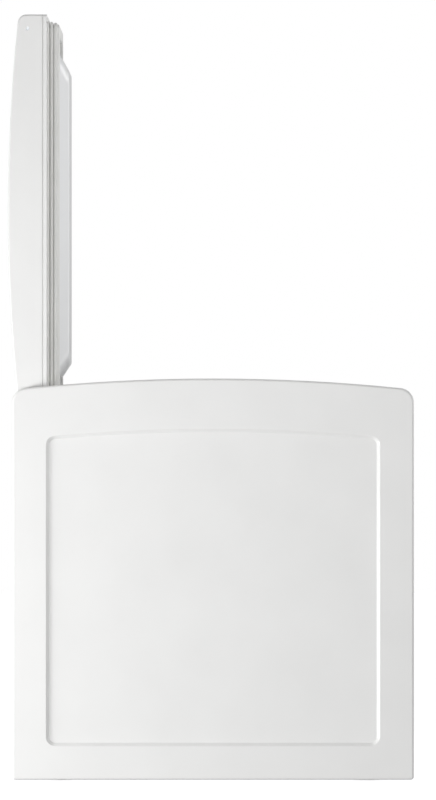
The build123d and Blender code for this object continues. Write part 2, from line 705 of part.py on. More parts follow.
with BuildPart() as drain_cap:
    with BuildSketch(at_x(DRAIN_END + SEAT_GAP)):
        with Locations((DRAIN_Y, DRAIN_Z)):
            Circle(DRAIN_CAP_RADIUS)
    extrude(amount=DRAIN_CAP_DEPTH)
    with BuildSketch(at_x(DRAIN_END + SEAT_GAP + DRAIN_CAP_DEPTH)):
        with Locations((DRAIN_Y, DRAIN_Z)):
            Rectangle(2 * (DRAIN_CAP_RADIUS - 3 * DRAIN_CAP_EDGE), CAP_BAR_WIDTH)
    extrude(amount=CAP_BAR_DEPTH)
    with BuildSketch(at_x(DRAIN_END + SEAT_GAP)):
        with Locations((DRAIN_Y, DRAIN_Z)):
            Circle(DRAIN_BORE - DRAIN_FIT)
    extrude(amount=-CAP_SPIGOT)
    cap_rim = drain_cap.edges().filter_by(GeomType.CIRCLE).sort_by(SortBy.RADIUS)[-2:]
    fillet(cap_rim.sort_by(Axis.X)[-1], DRAIN_CAP_EDGE)
pieces["drain_cap"] = drain_cap.part

# ---- thermostat, spindle, knob ----
DISH_Y = CONTROL_Y - DISH_ASIDE
DISH_Z = CONTROL_Z + DISH_RISE
DISH_FLOOR_X = FRONT - SHEET_INSET - DISH_DEPTH
THERMOSTAT_X1 = DISH_FLOOR_X - PANEL_PLATE
THERMOSTAT_X0 = THERMOSTAT_X1 - THERMOSTAT_DEPTH
with BuildPart() as thermostat:
    add(block(THERMOSTAT_X0, THERMOSTAT_X1, DISH_Y - THERMOSTAT_WIDTH / 2, DISH_Y + THERMOSTAT_WIDTH / 2,
              DISH_Z - THERMOSTAT_HEIGHT / 2, DISH_Z + THERMOSTAT_HEIGHT / 2))
    fillet(thermostat.edges().filter_by(Axis.X), THERMOSTAT_EDGE)
    add(rod_x(DISH_Y, DISH_Z, THERMOSTAT_X1 - SPINDLE_SEAT, THERMOSTAT_X1, SPINDLE_RADIUS + RUNNING_FIT),
        mode=Mode.SUBTRACT)
pieces["thermostat"] = thermostat.part
KNOB_BACK = DISH_FLOOR_X + KNOB_GAP
SPINDLE_X0 = THERMOSTAT_X1 - SPINDLE_SEAT + SPINDLE_END_GAP
pieces["thermostat_spindle"] = rod_x(DISH_Y, DISH_Z, SPINDLE_X0, KNOB_BACK + KNOB_BORE, SPINDLE_RADIUS)

with BuildPart() as thermostat_knob:
    with BuildSketch(at_x(KNOB_BACK)):
        with Locations((DISH_Y, DISH_Z)):
            Circle(KNOB_RADIUS)
            with PolarLocations(KNOB_RADIUS + FLUTE_RADIUS - FLUTE_INSET, KNOB_FLUTES):
                Circle(FLUTE_RADIUS, mode=Mode.SUBTRACT)
    extrude(amount=KNOB_DEPTH)
    add(rod_x(DISH_Y, DISH_Z, KNOB_BACK, KNOB_BACK + KNOB_BORE, SPINDLE_RADIUS), mode=Mode.SUBTRACT)
    add(block(KNOB_BACK + KNOB_DEPTH - POINTER_DEPTH, KNOB_BACK + KNOB_DEPTH,
              DISH_Y - POINTER_WIDTH / 2, DISH_Y + POINTER_WIDTH / 2,
              DISH_Z + POINTER_INNER, DISH_Z + POINTER_INNER + POINTER_LENGTH), mode=Mode.SUBTRACT)
pieces["thermostat_knob"] = thermostat_knob.part

# ---- control panel with louvres, lenses and fast-freeze switch ----
LENS_PLACES = [(CONTROL_Y + ROCKER_ASIDE + (i - 1) * LENS_PITCH, CONTROL_Z + LENS_RISE) for i in range(3)]
ROCKER_Y = CONTROL_Y + ROCKER_ASIDE
ROCKER_Z = CONTROL_Z + ROCKER_RISE
ROCKER_Y0, ROCKER_Y1 = ROCKER_Y - ROCKER_HEIGHT / 2, ROCKER_Y + ROCKER_HEIGHT / 2
ROCKER_Z0, ROCKER_Z1 = ROCKER_Z - ROCKER_WIDTH / 2, ROCKER_Z + ROCKER_WIDTH / 2
PLATE_X1 = SHEET_FRONT
PLATE_X0 = PLATE_X1 - PANEL_PLATE
SLOT_LENGTH = PANEL_WIDTH - 2 * SLOT_MARGIN


def louvred_plate(x0, x1, clearance):
    """A plate that fills the window with a clearance, with rows of air slots in its lower part."""
    with BuildPart() as plate:
        add(block(x0, x1, PANEL_SIDE[0] + clearance, PANEL_SIDE[1] - clearance,
                  PANEL_RISE[0] + clearance, PANEL_RISE[1] - clearance))
        for row in range(SLOT_ROWS):
            z = PANEL_LOW + SLOT_LOW + row * SLOT_PITCH
            add(block(x0, x1, CONTROL_Y - SLOT_LENGTH / 2, CONTROL_Y + SLOT_LENGTH / 2, z, z + SLOT_HEIGHT),
                mode=Mode.SUBTRACT)
    return plate.part


def rocker_room(x0, x1, around):
    """The rocker's own box from x0 to x1, grown around its sides."""
    return block(x0, x1, ROCKER_Y0 - around, ROCKER_Y1 + around, ROCKER_Z0 - around, ROCKER_Z1 + around)


with BuildPart() as control_panel:
    add(louvred_plate(PLATE_X0, PLATE_X1, SEAT_GAP))
    add(rod_x(DISH_Y, DISH_Z, DISH_FLOOR_X - PANEL_PLATE, PLATE_X1, DISH_RADIUS + DISH_WALL))
    add(rod_x(DISH_Y, DISH_Z, DISH_FLOOR_X, PLATE_X1, DISH_RADIUS), mode=Mode.SUBTRACT)
    add(rod_x(DISH_Y, DISH_Z, DISH_FLOOR_X - PANEL_PLATE, DISH_FLOOR_X, SPINDLE_RADIUS + KNOB_GAP),
        mode=Mode.SUBTRACT)
    for y, z in LENS_PLACES:
        add(rod_x(y, z, PLATE_X0, PLATE_X1, LENS_RADIUS), mode=Mode.SUBTRACT)
    add(rocker_room(PLATE_X0, PLATE_X1, ROCKER_GAP), mode=Mode.SUBTRACT)
pieces["control_panel"] = control_panel.part

with BuildPart() as indicator_lenses:
    for y, z in LENS_PLACES:
        add(rod_x(y, z, PLATE_X0 - LENS_TAIL, PLATE_X1 + LENS_PROUD, LENS_RADIUS))
pieces["indicator_lenses"] = indicator_lenses.part

SWITCH_X0 = PLATE_X0 - SWITCH_DEPTH
SWITCH_GROWN = ROCKER_GAP + SWITCH_WALL
ROCKER_PIVOT_X = PLATE_X0 - ROCKER_NOSE
with BuildPart() as switch_body:
    add(rocker_room(SWITCH_X0, PLATE_X0, SWITCH_GROWN))
    add(rocker_room(SWITCH_X0 + SWITCH_BACK, PLATE_X0, ROCKER_GAP), mode=Mode.SUBTRACT)
    with BuildSketch(Plane.XY.offset(ROCKER_Z0 - SWITCH_GROWN)):
        with Locations((ROCKER_PIVOT_X, ROCKER_Y)):
            Circle(ROCKER_PIN_RADIUS)
    extrude(amount=ROCKER_WIDTH + 2 * SWITCH_GROWN)
pieces["switch_body"] = switch_body.part

NOSE_X = ROCKER_PIVOT_X - ROCKER_NOSE
with BuildPart() as fast_freeze_rocker:
    with BuildSketch(Plane.XY.offset(ROCKER_Z0)):
        with BuildLine():
            Polyline(
                (NOSE_X, ROCKER_Y - ROCKER_NOSE), (PLATE_X0 + ROCKER_GAP, ROCKER_Y0 + ROCKER_GAP),
                (PLATE_X1 - ROCKER_LOW_SIDE, ROCKER_Y0 + ROCKER_GAP), (PLATE_X1 - ROCKER_HOLLOW, ROCKER_Y),
                (PLATE_X1 + ROCKER_PROUD, ROCKER_Y1 - ROCKER_GAP),
                (PLATE_X0 + ROCKER_GAP, ROCKER_Y1 - ROCKER_GAP),
                (NOSE_X, ROCKER_Y + ROCKER_NOSE), (NOSE_X, ROCKER_Y - ROCKER_NOSE),
            )
        make_face()
        with Locations((ROCKER_PIVOT_X, ROCKER_Y)):
            Circle(ROCKER_PIN_RADIUS + RUNNING_FIT, mode=Mode.SUBTRACT)
    extrude(amount=ROCKER_WIDTH)
pieces["fast_freeze_rocker"] = fast_freeze_rocker.part

# ---- rear cover with louvres, screws and power inlet ----
INLET_Z = PANEL_LOW + PANEL_HEIGHT - INLET_DROP
REAR_X0 = SHEET_BACK
REAR_X1 = SHEET_BACK + PANEL_PLATE
REAR_SCREW_Y = PANEL_WIDTH / 2 - REAR_SCREW_SIDE
REAR_SCREW_Z = PANEL_HEIGHT / 2 - REAR_SCREW_END
REAR_SCREWS = [(CONTROL_Y + sy * REAR_SCREW_Y, CONTROL_Z + sz * REAR_SCREW_Z)
               for sy in (-1, 1) for sz in (-1, 1)]


def inlet_room(x0, x1, inset=0.0):
    """The inlet's box from x0 to x1, drawn in by inset."""
    half_width = INLET_WIDTH / 2 - inset
    half_height = INLET_HEIGHT / 2 - inset
    return block(x0, x1, CONTROL_Y - half_width, CONTROL_Y + half_width,
                 INLET_Z - half_height, INLET_Z + half_height)


with BuildPart() as rear_cover:
    add(louvred_plate(REAR_X0, REAR_X1, SEAT_GAP))
    add(inlet_room(REAR_X0, REAR_X1), mode=Mode.SUBTRACT)
    for y, z in REAR_SCREWS:
        add(rod_x(y, z, REAR_X0, REAR_X1, SCREW_SHANK), mode=Mode.SUBTRACT)
        add(rod_x(y, z, REAR_X0, REAR_X0 + SCREW_HEAD_DEPTH, SCREW_HEAD), mode=Mode.SUBTRACT)
pieces["rear_cover"] = rear_cover.part

with BuildPart() as rear_cover_screws:
    for y, z in REAR_SCREWS:
        add(rod_x(y, z, REAR_X0, REAR_X1 + REAR_SCREW_TAIL, SCREW_SHANK))
        add(rod_x(y, z, REAR_X0, REAR_X0 + SCREW_HEAD_DEPTH, SCREW_HEAD))
pieces["rear_cover_screws"] = rear_cover_screws.part

with BuildPart() as power_inlet:
    add(inlet_room(REAR_X0, REAR_X0 + INLET_DEPTH))
    add(inlet_room(REAR_X0, REAR_X0 + SOCKET_DEPTH, INLET_WALL), mode=Mode.SUBTRACT)
    for dy, dz in INLET_PINS:
        y0, z0 = CONTROL_Y + dy - INLET_PIN_WIDTH / 2, INLET_Z + dz - INLET_PIN_HEIGHT / 2
        add(block(REAR_X0 + INLET_PIN_SETBACK, REAR_X0 + SOCKET_DEPTH, y0, y0 + INLET_PIN_WIDTH,
                  z0, z0 + INLET_PIN_HEIGHT))
pieces["power_inlet"] = power_inlet.part

# ---- compressor on its rail ----
COMPRESSOR_Y = (MACHINE_Y + BULKHEAD_SHEET + PANEL_Y) / 2
RAIL_TOP = BASE_TOP + RAIL_THICKNESS
SHELL_LOW = RAIL_TOP + GROMMET_HEIGHT
GROMMET_X = COMPRESSOR_LENGTH / 2 - GROMMET_INSET
GROMMET_Y = COMPRESSOR_WIDTH / 2 - GROMMET_INSET
grommet_places = [(sx * GROMMET_X, COMPRESSOR_Y + sy * GROMMET_Y) for sx in (-1, 1) for sy in (-1, 1)]
with BuildPart() as compressor:
    with BuildSketch(Plane.XY.offset(SHELL_LOW)):
        with Locations((0, COMPRESSOR_Y)):
            RectangleRounded(COMPRESSOR_LENGTH, COMPRESSOR_WIDTH, BASE_PLATE_CORNER)
        with Locations(*grommet_places):
            Circle(BOLT_RADIUS + BOLT_PLATE_GAP, mode=Mode.SUBTRACT)
    extrude(amount=BASE_PLATE)
    with BuildSketch(Plane.XY.offset(SHELL_LOW + BASE_PLATE)):
        with Locations((0, COMPRESSOR_Y)):
            RectangleRounded(SHELL_LENGTH, SHELL_WIDTH, COMPRESSOR_RADIUS)
    extrude(amount=SHELL_HEIGHT)
    fillet(compressor.faces().sort_by(Axis.Z)[-1].edges(), SHELL_DOME)
    with BuildSketch(Plane.XY.offset(SHELL_LOW + SEAM_RISE)):
        with Locations((0, COMPRESSOR_Y)):
            RectangleRounded(SHELL_LENGTH + 2 * SEAM_LIP, SHELL_WIDTH + 2 * SEAM_LIP,
                             COMPRESSOR_RADIUS + SEAM_LIP)
    extrude(amount=SEAM_HEIGHT)
pieces["compressor"] = compressor.part

with BuildPart() as compressor_rail:
    half_length = COMPRESSOR_LENGTH / 2 + RAIL_OVERHANG
    half_width = COMPRESSOR_WIDTH / 2 + RAIL_MARGIN
    add(block(-half_length, half_length, COMPRESSOR_Y - half_width, COMPRESSOR_Y + half_width,
              BASE_TOP, RAIL_TOP))
    with Locations(*[(x, y, RAIL_TOP) for x, y in grommet_places]):
        Hole(BOLT_RADIUS, RAIL_THICKNESS)
pieces["compressor_rail"] = compressor_rail.part

with BuildPart() as compressor_grommets:
    with BuildSketch(Plane.XY.offset(RAIL_TOP)):
        with Locations(*grommet_places):
            Circle(GROMMET_RADIUS)
            Circle(BOLT_RADIUS + BOLT_RUBBER_GAP, mode=Mode.SUBTRACT)
    extrude(amount=GROMMET_HEIGHT)
pieces["compressor_grommets"] = compressor_grommets.part

with BuildPart() as compressor_bolts:
    with BuildSketch(Plane.XY.offset(BASE_TOP)):
        with Locations(*grommet_places):
            Circle(BOLT_RADIUS)
    extrude(amount=SHELL_LOW + BASE_PLATE - BASE_TOP)
    with BuildSketch(Plane.XY.offset(SHELL_LOW + BASE_PLATE)):
        with Locations(*grommet_places):
            RegularPolygon(BOLT_HEAD, 6)
    extrude(amount=BOLT_HEAD_HEIGHT)
pieces["compressor_bolts"] = compressor_bolts.part

with BuildPart() as start_relay:
    add(block(SHELL_LENGTH / 2 + SEAT_GAP, SHELL_LENGTH / 2 + RELAY_DEPTH, COMPRESSOR_Y - RELAY_WIDTH / 2,
              COMPRESSOR_Y + RELAY_WIDTH / 2, SHELL_LOW + RELAY_LOW, SHELL_LOW + RELAY_LOW + RELAY_HEIGHT))
    fillet(start_relay.edges().filter_by(Axis.X), RELAY_EDGE)
pieces["start_relay"] = start_relay.part

# ---- pipes in the machine compartment ----
PORT_X = -SHELL_LENGTH / 2 - SEAT_GAP
TUBE_TOP = MACHINE_Z - BULKHEAD_SHEET - SEAT_GAP


def port_tube(y, rise, reach, radius):
    """A pipe that leaves the shell's rear end and turns up to the bulkhead."""
    z = SHELL_LOW + rise
    return tube([(PORT_X, y, z), (PORT_X - reach, y, z), (PORT_X - reach, y, TUBE_TOP)], radius, PIPE_BEND)


pieces["suction_tube"] = port_tube(COMPRESSOR_Y, SUCTION_RISE, SUCTION_REACH, SUCTION_RADIUS)
DISCHARGE_Y = COMPRESSOR_Y + DISCHARGE_ASIDE
pieces["discharge_tube"] = port_tube(DISCHARGE_Y, DISCHARGE_RISE, DISCHARGE_REACH, DISCHARGE_RADIUS)

DRIER_X = PORT_X - DRIER_REACH
DRIER_Y = COMPRESSOR_Y - DRIER_ASIDE
DRIER_Z = TUBE_TOP - DRIER_PROFILE[-1][1]
with BuildPart() as filter_drier:
    with BuildSketch(upright(DRIER_X, DRIER_Y, DRIER_Z)):
        with BuildLine():
            Polyline(*DRIER_PROFILE, DRIER_PROFILE[0])
        make_face()
    revolve(axis=Axis((DRIER_X, DRIER_Y, DRIER_Z), (0, 0, 1)))
pieces["filter_drier"] = filter_drier.part

# ---- temperature sensor: capillary from the thermostat to a bulb on the liner ----
SENSOR_Z = EVAPORATOR_START - 2 * EVAPORATOR_RADIUS - BULB_GAP
sensor_route = [(THERMOSTAT_X0 - SEAT_GAP, SENSOR_Y, DISH_Z), (SENSOR_X, SENSOR_Y, DISH_Z),
                (SENSOR_X, SENSOR_Y, SENSOR_Z), (BULB_X + BULB_LENGTH / 4, SENSOR_Y, SENSOR_Z)]
with BuildPart() as sensor_bulb:
    add(tube(sensor_route, CAPILLARY_RADIUS, CAPILLARY_BEND))
    add(rod_x(SENSOR_Y, SENSOR_Z, BULB_X, BULB_X + BULB_LENGTH, EVAPORATOR_RADIUS))
pieces["sensor_bulb"] = sensor_bulb.part

# ---- body foam, cut to everything it surrounds ----
pocket = 2 * EVAPORATOR_RADIUS + 2 * SEAT_GAP
COIL_TOP = EVAPORATOR_START + EVAPORATOR_PITCH * EVAPORATOR_TURNS
pocket_z = (EVAPORATOR_START - COIL_ROOM_BELOW, COIL_TOP + COIL_ROOM_ABOVE)
skin_pocket = 2 * CONDENSER_RADIUS + 2 * SEAT_GAP
CONDENSER_TOP = CONDENSER_START + CONDENSER_PITCH * (CONDENSER_ROWS - 1)
skin_z = (CONDENSER_START - CONDENSER_ROOM, CONDENSER_TOP + CONDENSER_ROOM)
skin_y = PANEL_Y - CONDENSER_MARGIN + CONDENSER_ROOM
drain_core = tube(drain_route[:-1] + [(INNER_FRONT, DRAIN_Y, DRAIN_Z)], DRAIN_BORE + DRAIN_WALL, DRAIN_BEND)
with BuildPart() as body_foam:
    add(block(INNER_BACK, INNER_FRONT, -PANEL_Y, PANEL_Y, BASE_TOP, RIM_LOW - SHEET))
    add(liner_volume, mode=Mode.SUBTRACT)
    add(tub(LINER_X0 - pocket, LINER_X1 + pocket, -LINER_Y - pocket, LINER_Y + pocket, *pocket_z,
            CAVITY_CORNER + pocket), mode=Mode.SUBTRACT)
    add(tub(MOUTH_X0 - RIM_WALL, MOUTH_X1 + RIM_WALL, -MOUTH_Y - RIM_WALL, MOUTH_Y + RIM_WALL,
            LINER_TOP - LINER_SHEET, RIM_LOW, CAVITY_CORNER + LEDGE_WIDTH + RIM_WALL), mode=Mode.SUBTRACT)
    add(block(INNER_BACK, INNER_FRONT, MACHINE_Y, PANEL_Y, BASE_TOP, MACHINE_Z), mode=Mode.SUBTRACT)
    add(block(INNER_FRONT - skin_pocket, INNER_FRONT, -skin_y, skin_y, *skin_z), mode=Mode.SUBTRACT)
    add(block(INNER_BACK, INNER_BACK + skin_pocket, -skin_y, skin_y, *skin_z), mode=Mode.SUBTRACT)
    add(drain_core, mode=Mode.SUBTRACT)
    add(rod_x(DRAIN_Y, DRAIN_Z, DRAIN_END - CAP_RECESS, INNER_FRONT, DRAIN_CAP_RADIUS + CAP_CLEARANCE),
        mode=Mode.SUBTRACT)
    add(block(*SENSOR_SLOT, MACHINE_Z, pocket_z[0]), mode=Mode.SUBTRACT)
pieces["body_foam"] = body_foam.part

# ---- wire basket that hangs on the ledge ----
BASKET_Z1 = LEDGE_Z + BASKET_RIM
BASKET_Z0 = BASKET_Z1 - BASKET_DEPTH
BASKET_Y1 = MOUTH_Y - LEDGE_WIDTH - BASKET_END_GAP
BASKET_Y0 = BASKET_Y1 - BASKET_LENGTH
HANGER_X0 = MOUTH_X0 + HANGER_GAP
HANGER_X1 = MOUTH_X1 - HANGER_GAP
WALL_X0 = MOUTH_X0 + LEDGE_WIDTH + BASKET_WALL_GAP
WALL_X1 = MOUTH_X1 - LEDGE_WIDTH - BASKET_WALL_GAP


def windows(low, high, count):
    """The spans between bars, when count cells share the length from low to high."""
    cell = (high - low - BASKET_BAR) / count
    return [(low + BASKET_BAR + i * cell, low + (i + 1) * cell) for i in range(count)]


with BuildPart() as wire_basket:
    add(block(WALL_X0, WALL_X1, BASKET_Y0, BASKET_Y1, BASKET_Z0, BASKET_Z1))
    add(block(WALL_X0 + BASKET_BAR, WALL_X1 - BASKET_BAR, BASKET_Y0 + BASKET_BAR, BASKET_Y1 - BASKET_BAR,
              BASKET_Z0 + BASKET_BAR, BASKET_Z1), mode=Mode.SUBTRACT)
    x_cells = windows(WALL_X0, WALL_X1, BASKET_CELLS_X)
    y_cells = windows(BASKET_Y0, BASKET_Y1, BASKET_CELLS_Y)
    z_cells = windows(BASKET_Z0, LEDGE_Z, BASKET_CELLS_Z)
    floor_z = (BASKET_Z0, BASKET_Z0 + BASKET_BAR)
    add([block(*x, *y, *floor_z) for x in x_cells for y in y_cells], mode=Mode.SUBTRACT)
    add([block(*x, BASKET_Y0, BASKET_Y1, *z) for x in x_cells for z in z_cells], mode=Mode.SUBTRACT)
    add([block(WALL_X0, WALL_X1, *y, *z) for y in y_cells for z in z_cells], mode=Mode.SUBTRACT)
    for y in (BASKET_Y0, BASKET_Y1 - BASKET_RIM):
        add(block(HANGER_X0, WALL_X0, y, y + BASKET_RIM, LEDGE_Z, BASKET_Z1))
        add(block(WALL_X1, HANGER_X1, y, y + BASKET_RIM, LEDGE_Z, BASKET_Z1))
    add(block(HANGER_X0, HANGER_X0 + BASKET_RIM, BASKET_Y0, BASKET_Y1, LEDGE_Z, BASKET_Z1))
    add(block(HANGER_X1 - BASKET_RIM, HANGER_X1, BASKET_Y0, BASKET_Y1, LEDGE_Z, BASKET_Z1))
pieces["wire_basket"] = Pos(0, 0, SEAT_GAP) * wire_basket.part


# ---- lid, built closed ----
def lid_outline(y, drop, z0):
    """The lid's arched side outline, drawn in by drop all round but not at its foot z0."""
    return arched(y, LID_X0 + drop, LID_X1 - drop, z0, drop,
                  LID_FRONT_RADIUS - drop, LID_REAR_RADIUS - drop, 0)


GRIP_Z = SHELL_Z + GRIP_RISE
GRIP_Z0, GRIP_Z1 = GRIP_Z - GRIP_HEIGHT / 2, GRIP_Z + GRIP_HEIGHT / 2
GRIP_Y = GRIP_WIDTH / 2

with BuildPart() as lid_skin:
    extrude(lid_outline(CAP_Y, 0, SHELL_Z), amount=2 * CAP_Y)
    extrude(lid_outline(CAP_Y, LID_SHEET, SHELL_Z), amount=2 * CAP_Y, mode=Mode.SUBTRACT)
    add(block(LID_X0 + LID_SHEET, LID_X0 + LID_FLANGE, -CAP_Y, CAP_Y, SHELL_Z, SHELL_Z + LID_SHEET))
    add(block(LID_X1 - LID_FLANGE, LID_X1 - LID_SHEET, -CAP_Y, CAP_Y, SHELL_Z, SHELL_Z + LID_SHEET))
    add(block(LID_X1 - GRIP_DEPTH, LID_X1, -GRIP_Y, GRIP_Y, GRIP_Z0, GRIP_Z1), mode=Mode.SUBTRACT)
pieces["lid_skin"] = opened(lid_skin.part)

STOP_Z = HINGE_Z - STOP_RADIUS
STOP_END_Y = -CAP_Y - STOP_PIN_SEAT
CAP_SCREW_X = FRONT - CAP_SCREW_SETBACK
BUSH_RADIUS = HINGE_PIN_RADIUS + BUSH_WALL
CAP_SCREW_SEAT = -LID_Y + CAP_SCREW_SINK
with BuildPart() as lid_cap_left:
    extrude(lid_outline(-CAP_Y, 0, SHELL_Z), amount=LID_CAP)
    fillet(lid_cap_left.faces().sort_by(Axis.Y)[0].edges(), LID_EDGE_RADIUS)
    add(rod_y(HINGE_X, HINGE_Z, -LID_Y, -CAP_Y, BUSH_RADIUS), mode=Mode.SUBTRACT)
    add(rod_y(HINGE_X, STOP_Z, -LID_Y, STOP_END_Y, STOP_PIN_RADIUS), mode=Mode.SUBTRACT)
    add(rod_y(CAP_SCREW_X, HINGE_Z, -LID_Y, -CAP_Y, CAP_SCREW_SHANK), mode=Mode.SUBTRACT)
    add(rod_y(CAP_SCREW_X, HINGE_Z, -LID_Y, CAP_SCREW_SEAT, CAP_SCREW_HEAD), mode=Mode.SUBTRACT)
pieces["lid_cap_left"] = opened(lid_cap_left.part)
pieces["lid_cap_right"] = mirrored(pieces["lid_cap_left"])

with BuildPart() as lid_cap_screws:
    add(rod_y(CAP_SCREW_X, HINGE_Z, -LID_Y + CAP_SCREW_SHY, -CAP_Y, CAP_SCREW_SHANK))
    add(rod_y(CAP_SCREW_X, HINGE_Z, -LID_Y + CAP_SCREW_SHY, CAP_SCREW_SEAT, CAP_SCREW_HEAD))
    mirror(about=Plane.XZ)
pieces["lid_cap_screws"] = opened(lid_cap_screws.part)

with BuildPart() as hinge_bush_left:
    add(rod_y(HINGE_X, HINGE_Z, -LID_Y, -CAP_Y, BUSH_RADIUS))
    add(rod_y(HINGE_X, HINGE_Z, -LID_Y, -CAP_Y, HINGE_PIN_RADIUS + RUNNING_FIT), mode=Mode.SUBTRACT)
pieces["hinge_bush_left"] = opened(hinge_bush_left.part)
pieces["hinge_bush_right"] = mirrored(pieces["hinge_bush_left"])

with BuildPart() as lid_stop_pins:
    add(rod_y(HINGE_X, STOP_Z, -PANEL_Y - STOP_REACH, STOP_END_Y, STOP_PIN_RADIUS))
    chamfer(lid_stop_pins.faces().sort_by(Axis.Y)[0].edges(), STOP_CHAMFER)
    mirror(about=Plane.XZ)
pieces["lid_stop_pins"] = opened(lid_stop_pins.part)


def frame_window(z1):
    """The opening inside the lid frame, from the frame's foot up to z1."""
    return tub(LID_X0 + LID_FRAME_WIDTH, LID_X1 - LID_FRAME_WIDTH, -LID_Y + LID_FRAME_WIDTH,
               LID_Y - LID_FRAME_WIDTH, LID_LOWER_Z, z1, LID_FRAME_CORNER)


with BuildPart() as lid_frame:
    add(tub(LID_X0, LID_X1, -LID_Y, LID_Y, LID_LOWER_Z, SHELL_Z, LID_FRAME_OUTER_CORNER))
    add(frame_window(SHELL_Z), mode=Mode.SUBTRACT)
    fillet(lid_frame.faces().sort_by(Axis.Z)[0].outer_wire().edges(), LID_FRAME_EDGE)
pieces["lid_frame"] = opened(lid_frame.part)

# ---- gasket: stacked rings, with magnets in a channel on the inside ----
GASKET_X0 = LID_X0 + GASKET_REAR_INSET
GASKET_X1 = LID_X1 - GASKET_FRONT_INSET
GASKET_Y = LID_Y - GASKET_SIDE_INSET
GASKET_LOW = LID_LOWER_Z - sum(height for height, inset in GASKET_LAYERS)


def gasket_ring(z0, z1, inset):
    """One layer of the gasket."""
    outer = tub(GASKET_X0 + inset, GASKET_X1 - inset, -GASKET_Y + inset, GASKET_Y - inset,
                z0, z1, GASKET_CORNER)
    return outer - tub(GASKET_X0 + GASKET_WIDTH, GASKET_X1 - GASKET_WIDTH, -GASKET_Y + GASKET_WIDTH,
                       GASKET_Y - GASKET_WIDTH, z0, z1, GASKET_INNER_CORNER)


magnet_z = GASKET_LOW + MAGNET_RISE
magnet_in = GASKET_WIDTH - MAGNET_WIDTH
with BuildPart() as gasket:
    level = LID_LOWER_Z
    for height, inset in GASKET_LAYERS:
        add(gasket_ring(level - height, level, inset))
        level -= height
    fillet(gasket.faces().sort_by(Axis.Z)[0].outer_wire().edges(), GASKET_TIP_RADIUS)
    add(tub(GASKET_X0 + magnet_in - MAGNET_CLEARANCE, GASKET_X1 - magnet_in + MAGNET_CLEARANCE,
            -GASKET_Y + magnet_in - MAGNET_CLEARANCE, GASKET_Y - magnet_in + MAGNET_CLEARANCE,
            magnet_z - MAGNET_CLEARANCE, magnet_z + MAGNET_HEIGHT + MAGNET_CLEARANCE, CHANNEL_CORNER),
        mode=Mode.SUBTRACT)
pieces["gasket"] = opened(gasket.part)

long_x = (GASKET_X0 + GASKET_WIDTH + MAGNET_END_GAP, GASKET_X1 - GASKET_WIDTH - MAGNET_END_GAP)
long_y = GASKET_Y - magnet_in - MAGNET_END_GAP
magnet_rise = (magnet_z, magnet_z + MAGNET_HEIGHT)
with BuildPart() as gasket_magnets:
    add(block(GASKET_X0 + magnet_in, GASKET_X0 + GASKET_WIDTH, -long_y, long_y, *magnet_rise))
    add(block(GASKET_X1 - GASKET_WIDTH, GASKET_X1 - magnet_in, -long_y, long_y, *magnet_rise))
    add(block(*long_x, -GASKET_Y + magnet_in, -GASKET_Y + GASKET_WIDTH, *magnet_rise))
    add(block(*long_x, GASKET_Y - GASKET_WIDTH, GASKET_Y - magnet_in, *magnet_rise))
pieces["gasket_magnets"] = opened(gasket_magnets.part)

# ---- lid liner: a formed sheet with a sloping plug ----
PLUG_X0 = BACK + PLUG_REAR
PLUG_X1 = FRONT - PLUG_FRONT
PLUG_Y = END_Y - PLUG_SIDE
PLUG_Z1 = LID_LOWER_Z
PLUG_Z0 = LID_LOWER_Z - PLUG_DROP
SLOPE_TOP = PLUG_Z0 + PLUG_SLOPE_Z


def plug(sheet):
    """The plug's volume, drawn in by the sheet's thickness."""
    low_x0, low_x1 = PLUG_X0 + PLUG_REAR_SLOPE + sheet, PLUG_X1 - PLUG_FRONT_SLOPE - sheet
    low_y = PLUG_Y - PLUG_SIDE_SLOPE - sheet
    with BuildPart() as volume:
        add(tub(PLUG_X0 + sheet, PLUG_X1 - sheet, -PLUG_Y + sheet, PLUG_Y - sheet,
                SLOPE_TOP, PLUG_Z1, PLUG_CORNER - sheet))
        with BuildSketch(Plane.XY.offset(SLOPE_TOP)):
            with Locations(((PLUG_X0 + PLUG_X1) / 2, 0)):
                RectangleRounded(PLUG_X1 - PLUG_X0 - 2 * sheet, 2 * (PLUG_Y - sheet), PLUG_CORNER - sheet)
        with BuildSketch(Plane.XY.offset(PLUG_Z0 + sheet)):
            with Locations(((low_x0 + low_x1) / 2, 0)):
                RectangleRounded(low_x1 - low_x0, 2 * low_y, PLUG_CORNER - sheet)
        loft()
        fillet(volume.faces().sort_by(Axis.Z)[0].edges(), PLUG_EDGE_RADIUS)
    return volume.part


LINER_FLANGE_X0 = GASKET_X0 + GASKET_WIDTH + PLUG_FLANGE_GAP
LINER_FLANGE_X1 = GASKET_X1 - GASKET_WIDTH - PLUG_FLANGE_GAP
LINER_FLANGE_Y = GASKET_Y - GASKET_WIDTH - PLUG_FLANGE_GAP
with BuildPart() as lid_liner:
    add(plug(0))
    add(tub(LINER_FLANGE_X0, LINER_FLANGE_X1, -LINER_FLANGE_Y, LINER_FLANGE_Y,
            LID_LOWER_Z - PLUG_SHEET, LID_LOWER_Z, PLUG_CORNER))
    add(plug(PLUG_SHEET), mode=Mode.SUBTRACT)
pieces["lid_liner"] = opened(lid_liner.part)

with BuildPart() as lid_grip:
    add(block(LID_X1 - GRIP_DEPTH, LID_X1, -GRIP_Y, GRIP_Y, GRIP_Z0, GRIP_Z1))
    add(block(LID_X1, LID_X1 + GRIP_PROUD, -GRIP_Y - GRIP_LIP, GRIP_Y + GRIP_LIP,
              GRIP_Z0 - GRIP_LIP, GRIP_Z1 + GRIP_LIP))
    add(block(LID_X1 - GRIP_DEPTH + GRIP_WALL, LID_X1 + GRIP_PROUD, -GRIP_Y + GRIP_WALL, GRIP_Y - GRIP_WALL,
              GRIP_Z0 + GRIP_WALL, GRIP_Z1 - GRIP_WALL), mode=Mode.SUBTRACT)
pieces["lid_grip"] = opened(lid_grip.part)

